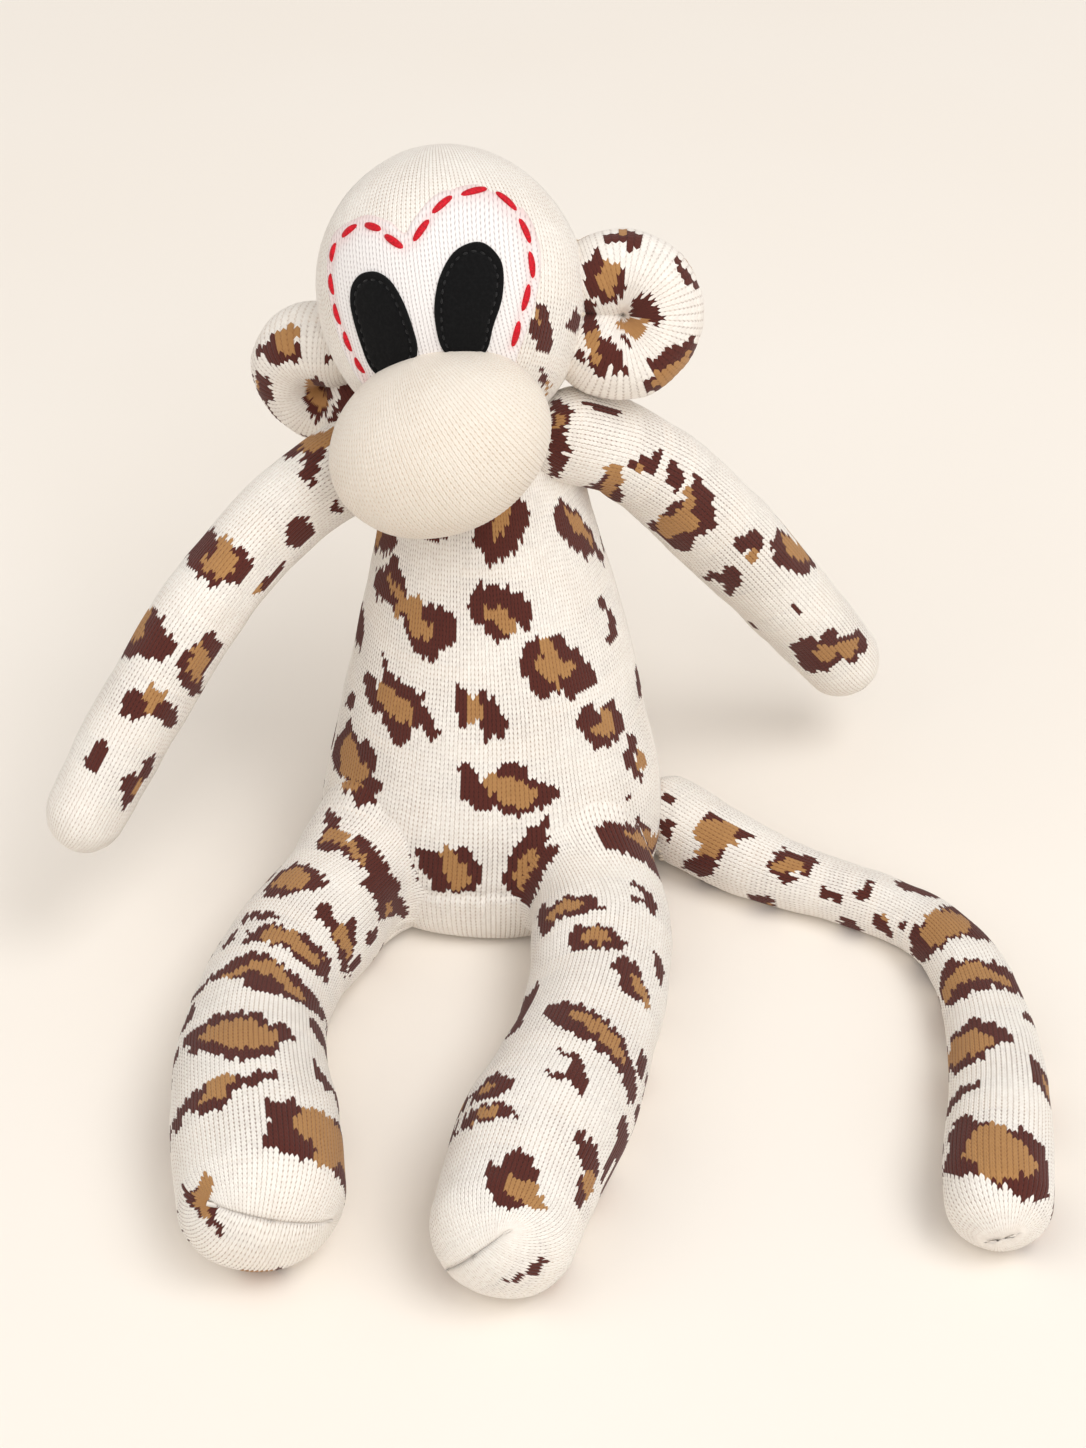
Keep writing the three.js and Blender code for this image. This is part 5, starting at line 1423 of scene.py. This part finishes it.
def build_arm(side):
    arm = ARMS[side]
    share = np.arange(ARM["sections"] + 1) / ARM["sections"]
    droop = np.radians(arm["droop"] + (arm["shoulder"] - arm["droop"]) * (1 - share) ** arm["bend"])
    reach = math.radians(arm["reach"])
    outward = np.array([math.cos(reach), math.sin(reach), 0])
    flat = np.array([math.sin(reach), -math.cos(reach), 0])
    tangents = np.cos(droop)[:, None] * outward - np.sin(droop)[:, None] * np.array([0, 0, 1.0])
    step = ARM["length"] * arm["length_share"] / ARM["sections"]
    centres = np.concatenate([np.zeros((1, 3)), np.cumsum(tangents[1:] * step, axis=0)])
    centres = centres + np.array(arm["pivot"])
    centres = centres + np.array(arm["shift"]) * ((1 - share) ** arm["shift_fade"])[:, None]
    radii = ARM["radius"] * np.array(arm["shares"])
    grid = limb_grid(centres, tangents, radii, flat, ARM["tip"], ARM_SEAM, arm["depth"], ARM["blunt"])
    piece = knit(f"arm_{side}", swell(grid), leopard, toe_seam)
    place(piece, f"arm_{side}", [f"arm_{side}_sock", f"arm_{side}_stuffing"])


def build_tail():
    centres, tangents, radii = floor_spine(TAIL_PIVOT, TAIL, TAIL_SHARES, TAIL_HEADINGS)
    centres[-1] = centres[-2] + (centres[-1] - centres[-2]) * TAIL_END_SHARE
    grid = limb_grid(centres, tangents, radii, (0, 0, 1), TAIL["tip"], TAIL_SEAM, TAIL_DEPTH)
    piece = knit("tail", rest_on_floor(swell(grid)), leopard, toe_seam)
    place(piece, "tail", ["tail_sock", "tail_stuffing"])


# Head

def turn_matrix():
    """The head's own turn, from its yaw and roll."""
    roll, yaw = math.radians(HEAD["roll"]), math.radians(HEAD["yaw"])
    about_z = [[math.cos(yaw), -math.sin(yaw), 0], [math.sin(yaw), math.cos(yaw), 0], [0, 0, 1]]
    about_y = [[math.cos(roll), 0, math.sin(roll)], [0, 1, 0], [-math.sin(roll), 0, math.cos(roll)]]
    return np.array(about_z) @ np.array(about_y)


HEAD_TURN = turn_matrix()
HEAD_CENTRE = np.array(HEAD["centre"])
HEAD_HALF = np.array([HEAD["half_width"], HEAD["half_width"], HEAD["half_height"]])
FACE_HALF = HEAD_HALF[[0, 2]]


def to_world(points):
    """Points of the head's own frame in the frame of the model."""
    return np.asarray(points) @ HEAD_TURN.T + HEAD_CENTRE


def on_head(directions, lift=0.0):
    """Points on the head in directions from its middle, in its own frame, and the way out there."""
    directions = np.asarray(directions, float)
    point = directions / np.linalg.norm(directions / HEAD_HALF, axis=-1, keepdims=True)
    out = unit(point / HEAD_HALF / HEAD_HALF)
    return point + out * np.asarray(lift)[..., None], out


def on_face(shares, lift):
    """Points over the front of the head, at shares of its half width and half height, and the way out."""
    shares = np.asarray(shares, float)
    depth = np.sqrt(np.maximum(1 - (shares ** 2).sum(-1), 0))
    return on_head(np.stack([shares[..., 0], -depth, shares[..., 1]], -1) * HEAD_HALF, lift)


def face_shares(pixels, lift=STITCH_LIFT):
    """Where the line of sight through each pixel meets the face, in shares of the head's half sizes."""
    pixels = np.asarray(pixels, float)
    ahead, above = camera_ways()
    across = (pixels[..., :1] - IMAGE_WIDTH / 2) * np.array([1.0, 0, 0])
    sight = across + (IMAGE_HEIGHT / 2 - pixels[..., 1:]) * above + FOCAL_PIXELS * ahead
    half = HEAD_HALF + lift
    start = (CAMERA_PLACE - HEAD_CENTRE) @ HEAD_TURN / half
    way = sight @ HEAD_TURN / half
    a, b, c = (way ** 2).sum(-1), (way * start).sum(-1), (start ** 2).sum() - 1
    reach = (-b - np.sqrt(np.maximum(b * b - a * c, 0))) / a
    return (start + way * reach[..., None])[..., [0, 2]]


def crown(points):
    """Which stitches have no spots, as they lie on the plain top of the head."""
    return ((points - HEAD_CENTRE) @ HEAD_TURN)[..., 2] > HEAD_PLAIN_ABOVE


def build_head():
    angles = turns(BODY_POINTS)
    lean = math.radians(HEAD_SEAM_BACK)
    rows = []
    for latitude in np.radians(np.linspace(-HEAD_END_LATITUDE, HEAD_END_LATITUDE, HEAD_ROWS)):
        wide = math.cos(latitude)
        back, up = turned(wide * np.sin(angles), math.sin(latitude), -lean)
        rows.append(np.stack([wide * np.cos(angles), back, up], -1))
    piece = knit("head", swell(to_world(np.stack(rows) * HEAD_HALF)), leopard, plain=crown)
    place(piece, "head", ["head_sock", "head_stuffing"])


def muzzle_ball():
    """Ways out over a ball, as a square net that is spread over it from its front."""
    spread = np.linspace(-1, 1, MUZZLE_POINTS)
    v, u = np.meshgrid(spread, spread, indexing="ij")
    x = u * np.sqrt(1 - v * v / 2)
    y = v * np.sqrt(1 - u * u / 2)
    radius = np.hypot(x, y)
    reach = math.radians(MUZZLE["reach"])
    polar = radius * reach
    scale = np.where(radius > 1e-9, np.sin(polar) / np.maximum(radius, 1e-9), reach)
    across, up = turned(x, y, math.radians(MUZZLE["wale_turn"]))
    ahead, up = turned(np.cos(polar), up * scale, math.radians(MUZZLE["lean"]))
    return unit(np.stack([across * scale, -ahead, up], -1))


def build_muzzle():
    ball = muzzle_ball() * np.array(MUZZLE["half"])
    across, up = turned(ball[..., 0], ball[..., 2], math.radians(MUZZLE["turn"]))
    grid = to_world(np.stack([across, ball[..., 1], up], -1) + np.array(MUZZLE["centre"]))
    piece = knit("muzzle", grid, cream, course=MUZZLE_COURSE, closed_columns=False)
    place(piece, "head", ["muzzle_sock", "muzzle_stuffing"])


def ear_frame(side):
    """Where an ear is sewn on, in the head's own frame, with the ways out, along its hinge and ahead."""
    sign = 1 if side == "left" else -1
    ear = EARS[side]
    low, behind = ear["drop"] / HEAD["half_height"], ear["back"] / HEAD["half_width"]
    share = math.sqrt(1 - low ** 2 - behind ** 2)
    point, out = on_head([sign * HEAD["half_width"] * share, ear["back"], -ear["drop"]])
    upright = unit(np.array([0, 0, 1.0]) - out * out[2])
    hinge = rotate(upright, out, -sign * math.radians(ear["lean"]))
    pivot = point + out * (EAR["tube"] * EAR["end_share"] - EAR["sink"]) + np.array(ear["shift"])
    front = np.cross(out, hinge)
    out = rotate(out, front, math.radians(ear["rise"]))
    hinge = rotate(hinge, front, math.radians(ear["rise"]))
    return pivot, out, hinge, np.cross(out, hinge)


def build_ear(side):
    pivot, out, hinge, front = ear_frame(side)
    half = math.radians(EAR["sweep"] / 2)
    share = np.linspace(0, 1, EAR_SECTIONS)
    angle = half * (2 * share - 1)
    centres = (out * (EAR["ring"] * (np.cos(angle) - math.cos(half)))[:, None]
               + hinge * (EAR["ring"] * np.sin(angle))[:, None]) + pivot
    tangents = -out * np.sin(angle)[:, None] + hinge * np.cos(angle)[:, None]
    radii = EAR["skin"] * table_at(EAR_SHARES, share)
    across, upright = limb_frames(tangents, front)
    body = rings(centres, across, upright, radii, radii, EAR_POINTS)
    ends = []
    for k, way in ((0, tangents[0]), (-1, -tangents[-1])):
        ends.append(root_rows(centres[k], way, across[k], upright[k], radii[k], EAR_POINTS,
                              blunt=EAR["blunt"]))
    grid = to_world(np.concatenate([ends[0], body, ends[1][::-1]]))
    piece = knit(f"ear_{side}", grid.transpose(1, 0, 2), leopard, closed_rows=True, closed_columns=False,
                 open_share=EAR_OPEN_SHARE)
    place(piece, f"ear_{side}", [f"ear_{side}_sock", f"ear_{side}_stuffing"])


# Face

def closed_line(line):
    """A line with its first point again at its end."""
    return np.concatenate([line, line[:1]])


def filled_outline(name, outline, middle, lift_at, material, rings_in):
    """A sheet on the face inside an outline, with its places on the face and the place of each corner."""
    shares = np.linspace(0, 1, rings_in) ** 1.3
    flat = np.concatenate([outline * (1 - share) + middle * share for share in shares])
    points, _ = on_face(flat, lift_at(flat))
    quads = grid_quads(rings_in, len(outline)).reshape(-1, 4)
    piece = make_mesh(name, to_world(points), [quads], [material])
    index = np.zeros(len(piece.data.loops), np.int32)
    piece.data.loops.foreach_get("vertex_index", index)
    corner_places(piece.data, (flat * FACE_HALF)[index] / PATCH_STITCH)
    return piece, flat, index


def distance_to(curve, places):
    """How far places on the face lie from a line, in millimetres."""
    a, b = curve[:-1] * FACE_HALF, curve[1:] * FACE_HALF
    p = places[:, None] * FACE_HALF
    along = b - a
    t = np.clip(((p - a) * along).sum(-1) / np.maximum((along ** 2).sum(-1), 1e-9), 0, 1)
    return np.linalg.norm(p - a - along * t[..., None], axis=-1).min(axis=1)


def sheet_lift(form, edge_line, seam_line):
    """How high a sheet stands over the head: rounded down at its edge and drawn in along its seam."""
    def lift(places):
        edge = np.clip(distance_to(edge_line, places) / form["rolled"], 0, 1)
        seam = distance_to(seam_line, places)
        rise = form["height"] * np.sqrt(np.clip(1 - (1 - edge) ** 2, 0, 1))
        return form["lift"] + rise - form["dip"] * np.exp(-(seam / form["dip_width"]) ** 2)
    return lift


def build_patch():
    corners = np.concatenate([face_shares(PATCH_PIXELS), PATCH_UNDER_MUZZLE_SHARES])
    outline = spline(corners, np.linspace(0, len(corners), PATCH_EDGE_POINTS, endpoint=False), True)
    stitches = face_shares(STITCH_PIXELS).reshape(-1, 2)
    edge_line = closed_line(outline)
    lift = sheet_lift(PATCH_FORM, edge_line, stitches)
    middle = np.array(PATCH_MIDDLE_SHARES)
    piece, flat, index = filled_outline("face_patch_cloth", outline, middle, lift, patch_material(),
                                        PATCH_ROWS)
    seam, border = distance_to(stitches, flat), distance_to(edge_line, flat)
    pink = np.exp(-(seam / PATCH_PINK_WIDTH) ** 2)
    # Painted shade: a dark line just inside the patch's edge, where it meets the head
    dark = np.exp(-((border - PATCH_EDGE_SHADE_INSET) / PATCH_EDGE_SHADE_WIDTH) ** 2)
    pink_and_edge_shade = np.stack([pink, dark, np.zeros(len(flat)), np.ones(len(flat))], -1)
    corner_values(piece.data, "pink_and_edge_shade", pink_and_edge_shade[index])
    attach(piece, "head")
    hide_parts("face_patch")


def patch_material():
    """Finer knit than the socks', pink along its stitches, with painted shade in the holes between stitches
    and along its edge.
    """
    material, surface = shader("patch_knit", 0.92, 0.4)
    n = Nodes(material)
    across, along = n.stitch_place()
    from_middle = n.math("ABSOLUTE", n.math("SUBTRACT", n.math("FRACT", across), 0.5))
    slanted = n.math("ADD", staggered(n, across, along), n.math("MULTIPLY", from_middle, 1.3))
    round_course = n.math("SINE", n.math("MULTIPLY", n.math("FRACT", slanted), math.pi))
    between = n.span(from_middle, 0.25, 0.47)
    hole = n.math("MULTIPLY", between, n.math("MULTIPLY_ADD", round_course, -0.85, 1.0))
    height = n.math("SUBTRACT", 1.0, n.math("MULTIPLY_ADD", between, 0.5, hole))
    fibres = n.noise(2400.0, 3.0, 0.6)
    soft = n.noise(120.0, 3.0, 0.5)
    near_seam, near_edge_shade, _ = n.layer("pink_and_edge_shade")
    # Painted shade in the holes between the patch's stitches
    base = n.mix(n.span(hole, 0.05, 0.8), PATCH_WHITE, PATCH_GAP_SHADE)
    base = n.mix(n.span(fibres, 0.35, 0.75, 0.0, 0.14), base, PATCH_FIBRE)
    pink = n.math("MULTIPLY", n.math("MULTIPLY", near_seam, 0.34), n.span(soft, 0.2, 0.8, 0.5, 1.0))
    base = n.mix(pink, base, PATCH_PINK)
    # Painted shade along the patch's edge
    base = n.mix(n.math("MULTIPLY", near_edge_shade, 0.4), base, PATCH_EDGE_SHADE)
    n.link(base, surface.inputs["Base Color"])
    n.link(n.bump(fibres, 0.0002, 0.5, n.bump(height, 0.0004, 0.5)), surface.inputs["Normal"])
    return material


def eye_outline(side, inset=0.0):
    """The edge of an eye, or a line a way inside it."""
    corners = face_shares(EYE_PIXELS[side], EYE_SIGHT_LIFT)
    edge = spline(corners, np.linspace(0, len(corners), EYE_EDGE_POINTS, endpoint=False), True)
    middle = edge.mean(axis=0)
    rel = (edge - middle) * FACE_HALF
    reach = np.linalg.norm(rel, axis=-1, keepdims=True)
    return middle + rel * (1 - inset / reach) / FACE_HALF


def build_eye(side):
    outline = eye_outline(side)
    seam_line = closed_line(eye_outline(side, EYE_SEAM_INSET))
    lift = sheet_lift(EYE_FORM, closed_line(outline), seam_line)
    piece, _, _ = filled_outline(f"eye_{side}_felt", outline, outline.mean(axis=0), lift, felt, EYE_ROWS)
    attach(piece, "head")
    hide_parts(f"eye_{side}")
    build_eye_stitches(side, seam_line)


def build_eye_stitches(side, line):
    """Small running stitches that hold the felt down."""
    points, outs = on_face(line, EYE_STITCH["lift"])
    run = np.concatenate([[0], np.cumsum(np.linalg.norm(np.diff(points, axis=0), axis=1))])
    count = int(run[-1] / EYE_STITCH["pitch"])
    tubes = []
    for k in range(count):
        at = run[-1] * k / count
        start, end, out = (np.array([np.interp(at + step, run, axis) for axis in values.T])
                           for step, values in ((0, points), (EYE_STITCH["length"], points), (1, outs)))
        tubes.append(to_world(spindle(start, end, out, EYE_STITCH["radius"], **SMALL_STITCH)))
    piece = joined_tubes(f"eye_{side}_stitches", tubes, black_thread)
    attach(piece, "head")


def spindle(start, end, out, radius, steps=14, sides=10):
    """One stitch of thick thread: thick in the middle, drawn to a point where it goes into the cloth."""
    along = end - start
    direction = unit(along)
    side = unit(np.cross(direction, out))
    angles = turns(sides)
    wide = np.cos(angles)[:, None] * side * radius * SPINDLE_WIDE
    tall = np.sin(angles)[:, None] * out * radius * SPINDLE_TALL
    rows = []
    for k in range(steps + 1):
        share = k / steps
        bow = math.sin(math.pi * share)
        middle = start + along * share + out * (radius / 2 * bow - SPINDLE_SINK)
        rows.append(middle + (wide + tall) * max(bow ** SPINDLE_TAPER, SPINDLE_POINT))
    return np.stack(rows)


def joined_tubes(name, tubes, material):
    """One mesh of many stitches that all have as many rows and sides."""
    rows, columns = tubes[0].shape[:2]
    quads = grid_quads(rows, columns)[..., [0, 3, 2, 1]].reshape(-1, 4)
    groups = [quads + k * rows * columns for k in range(len(tubes))]
    return make_mesh(name, np.concatenate(tubes).reshape(-1, 3), groups, [material])


def build_stitches():
    tubes = []
    for ends in STITCH_PIXELS:
        points, outs = on_face(face_shares(ends), STITCH_LIFT)
        over = (points[1] - points[0]) * STITCH_OVER_SHARE
        out = unit(outs.sum(axis=0))
        tubes.append(to_world(spindle(points[0] - over, points[1] + over, out, STITCH_RADIUS)))
    piece = joined_tubes("face_patch_stitches", tubes, red_thread)
    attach(piece, "head")
    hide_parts("face_patch_stitching")


# Seams

def ring_line(node, count):
    """The middle line of a ring of thread, from the corners of its solid, and the way square to it."""
    own = node.matrix_world
    corners = np.array([own @ v.co for v in node.data.vertices]) / MM
    middle = corners.mean(axis=0)
    _, _, ways = np.linalg.svd(corners - middle, full_matrices=False)
    flat = (corners - middle) @ ways.T
    angle = np.arctan2(flat[:, 1], flat[:, 0])
    line = []
    for wanted in turns(count):
        away = np.abs((angle - wanted + math.pi) % (2 * math.pi) - math.pi)
        weight = np.exp(-(away / SEAM_BLUR) ** 2) + 1e-9
        line.append((corners * weight[:, None]).sum(axis=0) / weight.sum())
    return np.array(line), ways[2]


def build_seam(name, body):
    """Slanting stitches over the crease where two pieces are sewn together."""
    line, normal = ring_line(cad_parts[name], SEAM_POINTS)
    length = np.linalg.norm(np.roll(line, -1, 0) - line, axis=1).sum()
    count = int(length / SEAM_PITCH)
    middle = line.mean(axis=0)
    tubes = []
    for k in range(count):
        at = int(SEAM_POINTS * k / count)
        here, ahead = line[at], unit(line[(at + 3) % SEAM_POINTS] - line[at - 3])
        out = unit(here - middle - normal * np.dot(here - middle, normal))
        reach = normal * SEAM_REACH + ahead * SEAM_REACH / 2
        tubes.append(spindle(here - reach, here + reach, out, SEAM_STITCH_RADIUS, **SMALL_STITCH))
    piece = joined_tubes(name.replace("_thread", "_stitches"), tubes, cream_thread)
    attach(piece, body)
    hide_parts(name)


build_torso()
for each in ("left", "right"):
    build_leg(each)
    build_arm(each)
    build_ear(each)
    build_eye(each)
build_tail()
build_head()
build_muzzle()
build_patch()
build_stitches()
for seam, carrier in SEAMS.items():
    build_seam(seam, carrier)


# Floor, light and camera

def build_stage():
    """A wide floor of plain paper."""
    corners = np.array([(-1, -1, 0), (1, -1, 0), (1, 1, 0), (-1, 1, 0)]) * FLOOR_HALF
    material, surface = shader("floor", 0.95)
    n = Nodes(material)
    paper = n.noise(3.0, 2.0, 0.5)
    n.link(n.mix(n.span(paper, 0.3, 0.7), FLOOR_DARK, FLOOR_LIGHT), surface.inputs["Base Color"])
    floor = make_mesh("floor", corners, [np.array([[0, 1, 2, 3]])], [material], smooth=False)


def build_light():
    """A backdrop that only the camera sees, soft light from all round, and three lamps."""
    world = bpy.data.worlds.new("studio")
    bpy.context.scene.world = world
    world.use_nodes = True
    nodes, links = world.node_tree.nodes, world.node_tree.links
    nodes.clear()
    output = nodes.new("ShaderNodeOutputWorld")
    seen, light = nodes.new("ShaderNodeBackground"), nodes.new("ShaderNodeBackground")
    seen.inputs["Color"].default_value = BACKDROP
    light.inputs["Color"].default_value = SOFT_LIGHT
    light.inputs["Strength"].default_value = SOFT_LIGHT_STRENGTH
    path, mix = nodes.new("ShaderNodeLightPath"), nodes.new("ShaderNodeMixShader")
    links.new(path.outputs["Is Camera Ray"], mix.inputs[0])
    links.new(light.outputs[0], mix.inputs[1])
    links.new(seen.outputs[0], mix.inputs[2])
    links.new(mix.outputs[0], output.inputs["Surface"])
    for name, values in LAMPS.items():
        lamp = bpy.data.lights.new(name, "AREA")
        lamp.size = values["size"]
        lamp.energy = values["power"]
        holder = bpy.data.objects.new(name, lamp)
        holder.location = values["place"]
        aim = np.array(LAMPS_AIM) - np.array(values["place"])
        holder.rotation_euler = (math.atan2(math.hypot(aim[0], aim[1]), -aim[2]), 0,
                                 math.atan2(aim[1], aim[0]) - math.pi / 2)
        bpy.context.scene.collection.objects.link(holder)


def build_camera():
    """The camera that took the photograph."""
    data = bpy.data.cameras.new("photo")
    data.sensor_fit = "HORIZONTAL"
    data.sensor_width = SENSOR_WIDTH
    data.lens = SENSOR_WIDTH * FOCAL_PIXELS / IMAGE_WIDTH
    data.clip_end = SIGHT_METRES
    camera = bpy.data.objects.new("photo", data)
    camera.location = tuple(CAMERA_PLACE * MM)
    camera.rotation_euler = (math.pi / 2 - LOOKING_DOWN, 0, 0)
    bpy.context.scene.collection.objects.link(camera)
    bpy.context.scene.camera = camera


build_stage()
build_light()
build_camera()
bpy.context.scene.view_settings.view_transform = "Standard"
